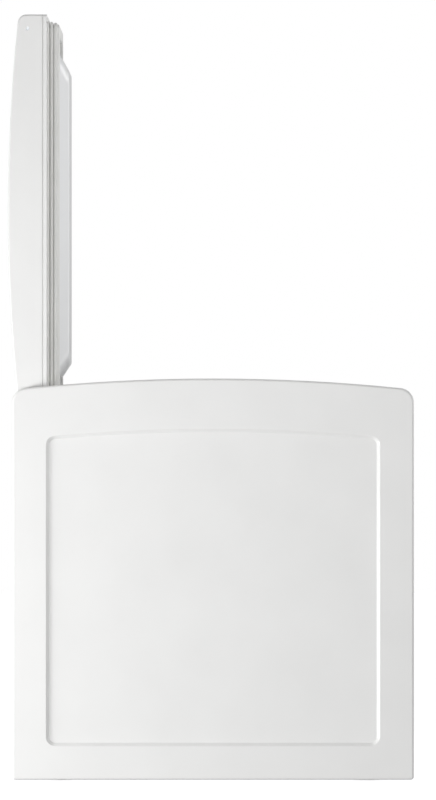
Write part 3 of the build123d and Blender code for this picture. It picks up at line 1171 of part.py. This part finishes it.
foam_inset = LID_SHEET + SEAT_GAP
with BuildPart() as lid_foam:
    extrude(lid_outline(CAP_Y, foam_inset, SHELL_Z + foam_inset), amount=2 * CAP_Y)
    add(frame_window(SHELL_Z + foam_inset))
    add(plug(PLUG_SHEET + SEAT_GAP))
    add(block(LID_X1 - GRIP_DEPTH - SEAT_GAP, LID_X1, -GRIP_Y - SEAT_GAP, GRIP_Y + SEAT_GAP,
              GRIP_Z0 - SEAT_GAP, GRIP_Z1 + SEAT_GAP), mode=Mode.SUBTRACT)
pieces["lid_foam"] = opened(lid_foam.part)


# ---- write one file for each piece ----
os.makedirs("parts", exist_ok=True)
for label, piece in pieces.items():
    piece.label = label
    export_step(piece, f"parts/{label}.step")
print(len(pieces), "pieces written")
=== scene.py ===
# %% [markdown]
# # An insulated top-opening chest
# The chest is a white box with thick walls. Its crowned lid turns between two arched end panels.
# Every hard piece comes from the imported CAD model, and this lesson gives each one its real finish.
# The soft or woven pieces, such as the gasket and the wire basket, are made here.

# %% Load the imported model
import json
import math

import bmesh
import bpy
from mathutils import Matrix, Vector


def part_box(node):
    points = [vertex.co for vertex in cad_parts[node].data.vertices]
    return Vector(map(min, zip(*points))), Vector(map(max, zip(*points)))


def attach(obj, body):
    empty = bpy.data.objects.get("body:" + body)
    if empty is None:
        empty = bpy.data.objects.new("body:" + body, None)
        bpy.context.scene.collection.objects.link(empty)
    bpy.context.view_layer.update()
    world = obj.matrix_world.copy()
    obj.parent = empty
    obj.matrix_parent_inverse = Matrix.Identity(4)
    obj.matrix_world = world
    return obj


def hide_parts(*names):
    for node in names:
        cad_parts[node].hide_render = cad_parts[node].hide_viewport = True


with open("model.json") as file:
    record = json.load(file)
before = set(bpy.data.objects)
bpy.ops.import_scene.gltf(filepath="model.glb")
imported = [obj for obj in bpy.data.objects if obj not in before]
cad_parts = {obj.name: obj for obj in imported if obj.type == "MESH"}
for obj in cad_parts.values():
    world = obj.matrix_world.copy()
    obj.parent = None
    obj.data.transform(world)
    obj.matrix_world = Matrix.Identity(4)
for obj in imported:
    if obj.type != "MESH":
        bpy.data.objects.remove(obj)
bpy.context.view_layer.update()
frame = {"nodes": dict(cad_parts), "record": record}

MM = 0.001

# %% [markdown]
# ## Colours
# Paint makers give colours as sRGB hex values, and a shader works in linear light. One function turns
# the first into the second, so every colour below can be read against a paint chart.

# %% Turn hex colours to linear light
def linear(hex_colour):
    channels = [int(hex_colour[i:i + 2], 16) / 255 for i in (1, 3, 5)]
    curve = [c / 12.92 if c <= 0.04045 else ((c + 0.055) / 1.055) ** 2.4 for c in channels]
    return (*curve, 1.0)


print("appliance white in linear light:", [round(c, 3) for c in linear("#EFEFED")])

# %% [markdown]
# ## One helper for nodes
# A finish is a small tree of shader nodes. This helper adds one node, sets it up, and links any
# socket that it is handed. Everything else in the lesson is written with it.

# %% Add a node
def add_node(tree, kind, sockets=None, **settings):
    made = tree.nodes.new(kind)
    for key, value in settings.items():
        setattr(made, key, value)
    for key, value in (sockets or {}).items():
        if isinstance(value, bpy.types.NodeSocket):
            tree.links.new(value, made.inputs[key])
        else:
            made.inputs[key].default_value = value
    return made


# %% [markdown]
# ## How a finish begins
# Each finish starts from a Principled surface and the object's own coordinates, which are metres here.
# So a pattern whose grain is 2 mm wide has a scale of 1 / 0.002. Two noises are shared by all the
# finishes: a fine one for the grain that the tool or the spray leaves, and a broad one for the slight
# change of colour and gloss that handling and cleaning leave. The broad one is as wide as a hand.

# %% Start a finish
HAND_WIDTH = 90


def start_finish(name, light, dark, roughness, grain_mm, grain_height, ior=1.5, metallic=0.0,
                 spread=0.04):
    material = bpy.data.materials.new(name)
    material.use_nodes = True
    tree = material.node_tree
    tree.nodes.clear()
    place = add_node(tree, "ShaderNodeTexCoord").outputs["Object"]
    broad = add_node(tree, "ShaderNodeTexNoise",
                     {"Vector": place, "Scale": 1 / (HAND_WIDTH * MM), "Detail": 4.0})
    tint = add_node(tree, "ShaderNodeMix", {"Factor": broad.outputs["Fac"]}, data_type="RGBA")
    tint.inputs["A"].default_value = linear(light)
    tint.inputs["B"].default_value = linear(dark)
    gloss = add_node(tree, "ShaderNodeMapRange",
                     {"Value": broad.outputs["Fac"], "To Min": roughness - spread,
                      "To Max": roughness + spread})
    fine = add_node(tree, "ShaderNodeTexNoise",
                    {"Vector": place, "Scale": 1 / (grain_mm * MM), "Detail": 2.0})
    bump = add_node(tree, "ShaderNodeBump",
                    {"Height": fine.outputs["Fac"], "Distance": grain_height * MM, "Strength": 0.5})
    surface = add_node(tree, "ShaderNodeBsdfPrincipled",
                       {"Base Color": tint.outputs["Result"], "Roughness": gloss.outputs["Result"],
                        "Normal": bump.outputs["Normal"], "Metallic": metallic, "IOR": ior})
    add_node(tree, "ShaderNodeOutputMaterial", {"Surface": surface.outputs["BSDF"]})
    return material, {"tree": tree, "place": place, "tint": tint, "bump": bump, "surface": surface}


# %% [markdown]
# ## Moulded appliance plastic
# The end panels, the lid's end caps and frame, and the rim are injection-moulded ABS. The mould is
# lightly spark-eroded, so the plastic has a fine, even grain and a satin sheen. ABS has an IOR of
# about 1.54. The real grain is about 0.3 mm, too fine to show in a render, so it is drawn at 1.2 mm.

# %% Mould the white ABS
ABS_GRAIN = 1.2
moulded_abs, _ = start_finish("moulded_white_abs", "#F3F3F2", "#EDEDEC", 0.42, ABS_GRAIN, 0.03, ior=1.54)
print(moulded_abs.name, "grain", ABS_GRAIN, "mm")

# %% [markdown]
# ## Pre-painted steel
# The lid's skin and the front and back sheets are steel that was painted on the coil before it was
# bent. Coil paint is smoother than a spray, with a faint orange peel about 3 mm across and a soft
# gloss. The paint covers the metal fully, so the surface is not metallic.

# %% Paint the steel
ORANGE_PEEL = 3.0
painted_steel, _ = start_finish("coil_painted_steel", "#F2F2F1", "#ECECEB", 0.34, ORANGE_PEEL, 0.02)
print(painted_steel.name, "orange peel", ORANGE_PEEL, "mm")

# %% [markdown]
# ## Formed polystyrene
# The lid's inside is a sheet of high-impact polystyrene, drawn over a mould by vacuum. Drawing it
# stretches the sheet and leaves it smoother and a touch bluer than the mouldings round it. Its IOR is
# 1.59, and its gloss hardly changes over the sheet, so its spread is smaller than the others'.

# %% Form the lid's inside
formed_styrene, _ = start_finish("formed_polystyrene", "#F2F3F4", "#EFF0F1", 0.3, 6.0, 0.004, ior=1.59,
                                 spread=0.01)
print(formed_styrene.name, "IOR", 1.59)

# %% [markdown]
# ## Stucco-embossed aluminium
# The tub is thin aluminium rolled between patterned rollers. The stucco pattern stiffens the sheet and
# hides scratches. Its cells are about 5 mm across, too fine to show from where the chest is seen, so a
# smooth Voronoi pattern drives the bump with cells of 9 mm.

# %% Emboss the aluminium
STUCCO_CELL = 9
STUCCO_DEPTH = 0.9
stucco_aluminium, stucco = start_finish("stucco_aluminium", "#D9DBDC", "#C6C9CB", 0.38, 0.9, 0.02,
                                        metallic=1.0)
cells = add_node(stucco["tree"], "ShaderNodeTexVoronoi",
                 {"Vector": stucco["place"], "Scale": 1 / (STUCCO_CELL * MM)}, feature="SMOOTH_F1")
cells.inputs["Smoothness"].default_value = 0.6
emboss = add_node(stucco["tree"], "ShaderNodeBump",
                  {"Height": cells.outputs["Distance"], "Distance": STUCCO_DEPTH * MM, "Strength": 0.55,
                   "Normal": stucco["bump"].outputs["Normal"]})
stucco["tree"].links.new(emboss.outputs["Normal"], stucco["surface"].inputs["Normal"])
print(stucco_aluminium.name, "cells", STUCCO_CELL, "mm")

# %% [markdown]
# ## Gasket vinyl
# The gasket is soft white PVC, extruded as a bellows and welded into a ring. Soft PVC is matte, and
# light goes a little way into it, so it has a small subsurface share.

# %% Make the vinyl
gasket_vinyl, vinyl = start_finish("soft_white_vinyl", "#F0F0EE", "#E6E6E3", 0.55, 1.5, 0.02, ior=1.52)
vinyl["surface"].inputs["Subsurface Weight"].default_value = 0.08
vinyl["surface"].inputs["Subsurface Radius"].default_value = (2 * MM, 2 * MM, 1.8 * MM)
print(gasket_vinyl.name, "lets light in about 2 mm")

# %% [markdown]
# ## Metals inside the machine space
# Zinc-plated steel is greyish and mottled by its crystals, about 8 mm across. Copper pipe dulls to a
# brown soon after brazing. Drawn aluminium pipe stays bright, with faint marks along it.

# %% Plate, braze and draw the metals
SPANGLE = 8
zinc_steel, zinc = start_finish("zinc_plated_steel", "#C3C6C9", "#A9ADB2", 0.36, 1.0, 0.02, metallic=1.0)
spangle = add_node(zinc["tree"], "ShaderNodeTexVoronoi",
                   {"Vector": zinc["place"], "Scale": 1 / (SPANGLE * MM)})
zinc["tree"].links.new(spangle.outputs["Distance"], zinc["tint"].inputs["Factor"])
copper, _ = start_finish("brazed_copper", "#B87750", "#8A5138", 0.4, 2.0, 0.03, metallic=1.0, spread=0.1)
drawn_aluminium, _ = start_finish("drawn_aluminium", "#D5D7D9", "#BFC2C5", 0.33, 1.5, 0.02, metallic=1.0)
print("metals:", zinc_steel.name, copper.name, drawn_aluminium.name)

# %% [markdown]
# ## Dark pieces
# The compressor's shell is dipped in black enamel, which is glossy with soft runs. The feet and
# grommets are nitrile rubber, and the electrical housings are glass-filled plastic with a dull face.

# %% Make the dark finishes
black_enamel, _ = start_finish("dipped_black_enamel", "#1B1B1C", "#111112", 0.22, 5.0, 0.05)
nitrile_rubber, _ = start_finish("nitrile_rubber", "#232323", "#191919", 0.75, 0.9, 0.05)
filled_plastic, _ = start_finish("glass_filled_plastic", "#242526", "#1B1C1D", 0.6, 0.8, 0.04)
print("dark finishes:", black_enamel.name, nitrile_rubber.name, filled_plastic.name)

# %% [markdown]
# ## Foam, magnets and small mouldings
# Rigid polyurethane foam is a pale straw colour with open cells about 1 mm across where it is cut.
# The magnets are ferrite in a rubber binder. The louvres and knob are grey ABS, and the drain pieces
# and hinge bushes are natural acetal, which is a milky white. The rocker and the lamp lenses are amber
# polycarbonate, and the basket's wires are dipped in vinyl, which flows out smooth.

# %% Make the small finishes
cut_foam, _ = start_finish("polyurethane_foam", "#E7DDB4", "#D8CB9A", 0.9, 1.0, 0.4)
ferrite_strip, _ = start_finish("ferrite_strip", "#2A2927", "#1F1E1D", 0.8, 0.8, 0.03)
grey_abs, _ = start_finish("moulded_grey_abs", "#C4C6C8", "#BABCBF", 0.45, 1.0, 0.04, ior=1.54)
acetal, _ = start_finish("natural_acetal", "#EBEAE4", "#E0DFD8", 0.4, 1.5, 0.02, ior=1.48)
amber_plastic, _ = start_finish("amber_polycarbonate", "#E2952C", "#C97D1C", 0.2, 3.0, 0.01, ior=1.58)
coated_wire, _ = start_finish("vinyl_coated_wire", "#F2F2F0", "#E9E9E6", 0.3, 4.0, 0.02, ior=1.52)
print("small finishes:", cut_foam.name, ferrite_strip.name, grey_abs.name, acetal.name, amber_plastic.name)

# %% [markdown]
# ## Hand the finishes out
# The record names a slot for every node, and the slot says which finish the real piece has. A
# dictionary from slot to material covers the whole chest, and the nodes stay where the CAD put them.

# %% Give every node its finish
FINISH = {
    "moulded_white": moulded_abs, "painted_steel_white": painted_steel, "lid_liner_white": formed_styrene,
    "liner_aluminium": stucco_aluminium, "gasket_vinyl": gasket_vinyl, "magnet_strip": ferrite_strip,
    "insulation_foam": cut_foam, "copper_pipe": copper, "coil_pipe": drawn_aluminium,
    "zinc_steel": zinc_steel, "black_enamel": black_enamel, "black_rubber": nitrile_rubber,
    "black_plastic": filled_plastic, "grey_plastic": grey_abs, "rocker_amber": amber_plastic,
    "lens": amber_plastic, "drain_plastic": acetal, "coated_wire": coated_wire,
}
for part in frame["record"]["subparts"]:
    node_mesh = frame["nodes"][part["node"]].data
    node_mesh.materials.clear()
    node_mesh.materials.append(FINISH[part["material_slot"]])
print(len(frame["nodes"]), "nodes in", len(FINISH), "finishes")


# %% [markdown]
# ## How wire bends
# Bent wire is a straight run, then a tangent arc round the bending pin, then the next run. This helper
# rounds each corner of a route with its bend radius: it finds the arc's centre on the line that halves
# the corner, and turns from one tangent point to the other in equal steps.

# %% Round the corners of a route
def bent(points, radius, closed=False, steps=6):
    count = len(points)
    route = []
    for i, point in enumerate(points):
        here = Vector(point)
        if not closed and i in (0, count - 1):
            route.append(here)
            continue
        back = (Vector(points[i - 1]) - here).normalized()
        ahead = (Vector(points[(i + 1) % count]) - here).normalized()
        half_turn = (math.pi - back.angle(ahead)) / 2
        reach = radius * math.tan(half_turn)
        centre = here + (back + ahead).normalized() * (radius / math.cos(half_turn))
        start = here + back * reach - centre
        side = here + ahead * reach - centre
        for step in range(steps + 1):
            route.append(centre + start.slerp(side, step / steps) * radius)
    return route


right_angle = bent([(2, 0, 0), (0, 0, 0), (0, 2, 0)], 1)
print("a right-angled bend is drawn with", len(right_angle) - 2, "points")

# %% [markdown]
# ## From a wire to a mesh
# A curve with a round bevel gives a wire its thickness. It could stay a curve, but the curve is turned
# into a mesh.

# %% Sweep round wires into one mesh
def wires(name, routes, finish):
    curve = bpy.data.curves.new(name, "CURVE")
    curve.dimensions = "3D"
    curve.bevel_depth = 1.0
    curve.bevel_resolution = 4
    curve.use_fill_caps = True
    for points, radius, closed in routes:
        spline = curve.splines.new("POLY")
        spline.points.add(len(points) - 1)
        for slot, point in zip(spline.points, points):
            slot.co = (*point, 1)
            slot.radius = radius
        spline.use_cyclic_u = closed
    shape = bpy.data.objects.new(name, curve)
    bpy.context.scene.collection.objects.link(shape)
    mesh = bpy.data.meshes.new_from_object(shape.evaluated_get(bpy.context.evaluated_depsgraph_get()))
    bpy.data.objects.remove(shape)
    made = bpy.data.objects.new(name, mesh)
    bpy.context.scene.collection.objects.link(made)
    mesh.materials.clear()
    mesh.materials.append(finish)
    mesh.polygons.foreach_set("use_smooth", [True] * len(mesh.polygons))
    return made


# %% [markdown]
# ## The wire basket
# The basket is welded from straight and bent steel wire, then dipped in white vinyl. A thick rim wire
# hangs on the two ledges of the mouth. Bent wires pass under from side to side, others pass over them
# from end to end, and two rings tie the walls. A Wireframe modifier could draw the grid, but real wires
# pass over and under each other, so each one gets its own route.

# %% Size the basket and bend its rim
low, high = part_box("wire_basket")
RIM_WIRE = 2.5 * MM
MESH_WIRE = 1.5 * MM
CROSSING = 1.8 * MESH_WIRE
SHOULDER = 12.0 * MM
HOOK_DROP = 3.5 * MM
RIM_BEND = 10 * MM
HOOK_BEND = 4 * MM
WALL_BEND = 6 * MM
rim_z = high.z - RIM_WIRE
wire_z = high.z - HOOK_DROP
x0, x1 = low.x + RIM_WIRE, high.x - RIM_WIRE
y0, y1 = low.y + RIM_WIRE, high.y - RIM_WIRE
wall_x0, wall_x1 = low.x + SHOULDER, high.x - SHOULDER
floor_z = low.z + MESH_WIRE
rim_route = [(x0, y0, rim_z), (x1, y0, rim_z), (x1, y1, rim_z), (x0, y1, rim_z)]
basket_routes = [(bent(rim_route, RIM_BEND, True), RIM_WIRE, True)]
print("basket", round((x1 - x0) / MM), "mm long and", round((y1 - y0) / MM), "mm wide")

# %% [markdown]
# The wires that go under hook over the rim at both ends, so they have a shoulder there. The wires that
# go over rise straight up the other two walls. Where two wires cross they are pressed together in the
# weld, so their centres are a little less than two radii apart.

# %% Route the crossing wires
SIDE_WIRES = 8
END_WIRES = 17
for i in range(SIDE_WIRES):
    y = y0 + (i + 0.5) * (y1 - y0) / SIDE_WIRES
    route = [(x0, y, wire_z), (wall_x0, y, wire_z), (wall_x0, y, floor_z), (wall_x1, y, floor_z),
             (wall_x1, y, wire_z), (x1, y, wire_z)]
    basket_routes.append((bent(route, HOOK_BEND), MESH_WIRE, False))
over_z = floor_z + CROSSING
for i in range(END_WIRES):
    x = wall_x0 + (i + 0.5) * (wall_x1 - wall_x0) / END_WIRES
    route = [(x, y0, rim_z), (x, y0, over_z), (x, y1, over_z), (x, y1, rim_z)]
    basket_routes.append((bent(route, WALL_BEND), MESH_WIRE, False))
print(SIDE_WIRES, "wires go under and", END_WIRES, "go over")

# %% [markdown]
# Two rings inside the walls, a third and two thirds of the way up, keep goods from spreading them.
# With the rings, all the routes are swept at once, and the piece takes the CAD basket's place.

# %% Tie the walls and weld the basket
RING_HEIGHTS = (0.33, 0.66)
inner_x0, inner_x1 = wall_x0 + CROSSING, wall_x1 - CROSSING
inner_y0, inner_y1 = y0 + CROSSING, y1 - CROSSING
for share in RING_HEIGHTS:
    z = floor_z + share * (rim_z - floor_z)
    ring = [(inner_x0, inner_y0, z), (inner_x1, inner_y0, z),
            (inner_x1, inner_y1, z), (inner_x0, inner_y1, z)]
    basket_routes.append((bent(ring, WALL_BEND, True), MESH_WIRE, True))
basket_wires = wires("basket_wires", basket_routes, coated_wire)
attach(basket_wires, "basket")
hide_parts("wire_basket")
print("basket of", len(basket_routes), "wires")


# %% [markdown]
# ## The gasket
# A bellows gasket has a stiff root, a deep fold, a rounded bead, a second fold, a band, and a wider tip
# that wraps the magnet strips. Its section is the same all the way round, so it is drawn once, as pairs
# of how far in and how high in millimetres. The folds are deep, because their shade is what makes the
# bellows read as soft.

# %% Draw the gasket's section
GASKET_SECTION = [
    (0.0, 0.0), (0.0, 2.4), (0.5, 2.9), (9.0, 3.2), (9.6, 4.0), (9.0, 4.8), (1.6, 5.0), (0.9, 5.6),
    (0.8, 6.6), (0.9, 7.7), (1.6, 8.6), (9.0, 8.8), (9.6, 9.5), (9.0, 10.2), (2.9, 10.4), (2.3, 10.9),
    (2.2, 13.4), (2.6, 14.4), (3.4, 14.9), (4.3, 15.1), (4.6, 16.3), (5.4, 17.6), (6.8, 18.4),
    (8.6, 18.8), (18.2, 18.8), (20.5, 18.3), (21.2, 17.0), (21.2, 10.0), (19.0, 7.5), (20.0, 6.0),
    (20.0, 0.0),
]
print("gasket section has", len(GASKET_SECTION), "points")

# %% [markdown]
# The four lengths are welded into a ring whose outer corners are rounded. Each point of the section
# becomes a ring of its own. Further in, its corner is tighter, down to the radius that a weld leaves.

# %% Carry one point of the section round the lid
GASKET_CORNER = 12
WELD_CORNER = 2.5


def gasket_ring(inset, height, low, high):
    corner = max(GASKET_CORNER - inset, WELD_CORNER) * MM
    y0, y1 = low.y + inset * MM, high.y - inset * MM
    z0, z1 = low.z + inset * MM, high.z - inset * MM
    x = low.x + height * MM
    return bent([(x, y0, z0), (x, y1, z0), (x, y1, z1), (x, y0, z1)], corner, True, steps=8)


print("its corners run from", GASKET_CORNER, "mm outside to", WELD_CORNER, "mm inside")

# %% [markdown]
# Faces join each ring to the next one, and the last ring to the first, so the piece is closed. A curve
# with a section as its bevel could do this too, but it would round the folds at the corners unevenly.

# %% Join the rings into the gasket
low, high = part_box("gasket")
sweep = bmesh.new()
rings = [[sweep.verts.new(point) for point in gasket_ring(inset, height, low, high)]
         for inset, height in GASKET_SECTION]
for here, there in zip(rings, rings[1:] + rings[:1]):
    for i in range(len(here)):
        j = (i + 1) % len(here)
        sweep.faces.new((here[i], here[j], there[j], there[i]))
bmesh.ops.recalc_face_normals(sweep, faces=sweep.faces)
gasket_mesh = bpy.data.meshes.new("gasket_bellows")
sweep.to_mesh(gasket_mesh)
sweep.free()
gasket_mesh.materials.append(gasket_vinyl)
gasket_mesh.polygons.foreach_set("use_smooth", [True] * len(gasket_mesh.polygons))
gasket_bellows = bpy.data.objects.new("gasket_bellows", gasket_mesh)
bpy.context.scene.collection.objects.link(gasket_bellows)
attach(gasket_bellows, "lid")
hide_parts("gasket")
print(gasket_bellows.name, "has", len(gasket_mesh.polygons), "faces")

# %% [markdown]
# ## The floor
# White goods are shown on a white sweep of paper. The paper glows a little, so it stays as white as
# the room. It is kept from throwing light back up, so the edges that face down stay a little darker.

# %% Lay the floor
FLOOR_HALF = 30.0
FLOOR_LEVEL = -0.5 * MM
FLOOR_GLOW = 0.70
floor_mesh = bpy.data.meshes.new("studio_floor")
floor_corners = [(-1, -1), (1, -1), (1, 1), (-1, 1)]
floor_mesh.from_pydata([(x * FLOOR_HALF, y * FLOOR_HALF, FLOOR_LEVEL) for x, y in floor_corners], [],
                       [(0, 1, 2, 3)])
studio_floor = bpy.data.objects.new("studio_floor", floor_mesh)
bpy.context.scene.collection.objects.link(studio_floor)
studio_floor.visible_diffuse = False
floor_paper = bpy.data.materials.new("white_sweep_paper")
floor_paper.use_nodes = True
paper = floor_paper.node_tree.nodes["Principled BSDF"]
paper.inputs["Base Color"].default_value = linear("#F4F4F4")
paper.inputs["Roughness"].default_value = 0.9
paper.inputs["Emission Color"].default_value = (1, 1, 1, 1)
paper.inputs["Emission Strength"].default_value = FLOOR_GLOW
floor_mesh.materials.append(floor_paper)
print("floor", 2 * FLOOR_HALF, "m square")

# %% [markdown]
# ## The room
# The room itself gives most of the light. It is brightest on the right, where it fills the lid's inside
# and the front of the chest, dimmer in front, and dimmest on the left, where the lights stand. The
# backdrop that the camera sees is plain white.

# %% Light the room, and keep it white where the camera looks
ROOM_FRONT = 0.36
ROOM_RIGHT = 0.46
ROOM_LEFT = 0.22
SIDE_FADE = (-0.5, 0.3)
FRONT_FADE = (-0.85, -0.35)
world = bpy.data.worlds.new("studio_room")
bpy.context.scene.world = world
world.use_nodes = True
room = world.node_tree
room.nodes.clear()
direction = add_node(room, "ShaderNodeTexCoord").outputs["Generated"]
axes = add_node(room, "ShaderNodeSeparateXYZ", {"Vector": direction})
sides = add_node(room, "ShaderNodeMapRange",
                 {"Value": axes.outputs["X"], "From Min": SIDE_FADE[0], "From Max": SIDE_FADE[1],
                  "To Min": ROOM_LEFT, "To Max": ROOM_RIGHT})
level = add_node(room, "ShaderNodeMapRange",
                 {"Value": axes.outputs["Y"], "From Min": FRONT_FADE[0], "From Max": FRONT_FADE[1],
                  "To Min": ROOM_FRONT, "To Max": sides.outputs["Result"]})
seen = add_node(room, "ShaderNodeLightPath").outputs["Is Camera Ray"]
strength = add_node(room, "ShaderNodeMix", {"Factor": seen}, data_type="FLOAT")
room.links.new(level.outputs["Result"], strength.inputs["A"])
strength.inputs["B"].default_value = 1.0
backdrop = add_node(room, "ShaderNodeBackground",
                    {"Color": (1, 1, 1, 1), "Strength": strength.outputs["Result"]})
add_node(room, "ShaderNodeOutputWorld", {"Surface": backdrop.outputs["Background"]})
print("room level", ROOM_FRONT, "in front,", ROOM_LEFT, "on the left and", ROOM_RIGHT, "on the right")

# %% [markdown]
# ## The lights
# Two broad, low soft lights stand on the left, one of them well to the side, so the end panel falls off
# to the right and its pressed field shows its edges. A small one high on the right has a honeycomb that
# narrows its beam to the lid's inside. One stands end-on and one at the far right, to even out the rest.

# %% Hang the soft lights
def soft_light(name, place, aim, size, watts, spread=180):
    lamp = bpy.data.lights.new(name, "AREA")
    lamp.shape = "RECTANGLE"
    lamp.size, lamp.size_y = size
    lamp.energy = watts
    lamp.spread = math.radians(spread)
    holder = bpy.data.objects.new(name, lamp)
    bpy.context.scene.collection.objects.link(holder)
    holder.location = place
    holder.rotation_euler = (Vector(aim) - Vector(place)).to_track_quat("-Z", "Y").to_euler()
    return holder


soft_light("key_left", (-1.5, -1.3, 0.15), (-0.3, -0.38, 0.1), (1.0, 0.3), 11)
soft_light("side_left", (-1.9, -1.0, 0.15), (-0.3, -0.38, 0.1), (1.0, 0.3), 18)
soft_light("fill_right", (1.6, -0.7, 1.2), (-0.23, -0.3, 0.95), (0.6, 0.6), 0.5, spread=45)
soft_light("end_on", (0.1, -3.6, 0.6), (0.0, -0.38, 0.6), (1.2, 1.2), 20)
soft_light("far_right", (2.6, 2.2, 1.0), (0.2, 0.3, 0.5), (1.4, 1.4), 24)
print("five soft lights, all of them area lights")

# %% [markdown]
# ## The camera
# A straight-on view of one end needs a long lens from far away, so that the far end hides behind the
# near one. The camera stands level with the middle of the open chest, and its lens is worked out from
# how tall a view it has to take in at that distance.

# %% Place the camera
VIEW_HEIGHT = 1.194
VIEW_CENTRE_X = 0.0075
VIEW_CENTRE_Z = 0.568
DISTANCE = 31.0
SENSOR = 36.0
end_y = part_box("end_panel_left")[0].y
camera_data = bpy.data.cameras.new("long_lens")
camera_data.sensor_width = SENSOR
camera_data.lens = SENSOR * DISTANCE / VIEW_HEIGHT
camera_data.clip_end = 4 * DISTANCE
camera = bpy.data.objects.new("long_lens", camera_data)
bpy.context.scene.collection.objects.link(camera)
camera.location = (VIEW_CENTRE_X, end_y - DISTANCE, VIEW_CENTRE_Z)
camera.rotation_euler = (math.pi / 2, 0, 0)
bpy.context.scene.camera = camera
bpy.context.scene.view_settings.view_transform = "Standard"
print("lens", round(camera_data.lens), "mm, from", DISTANCE, "m away")
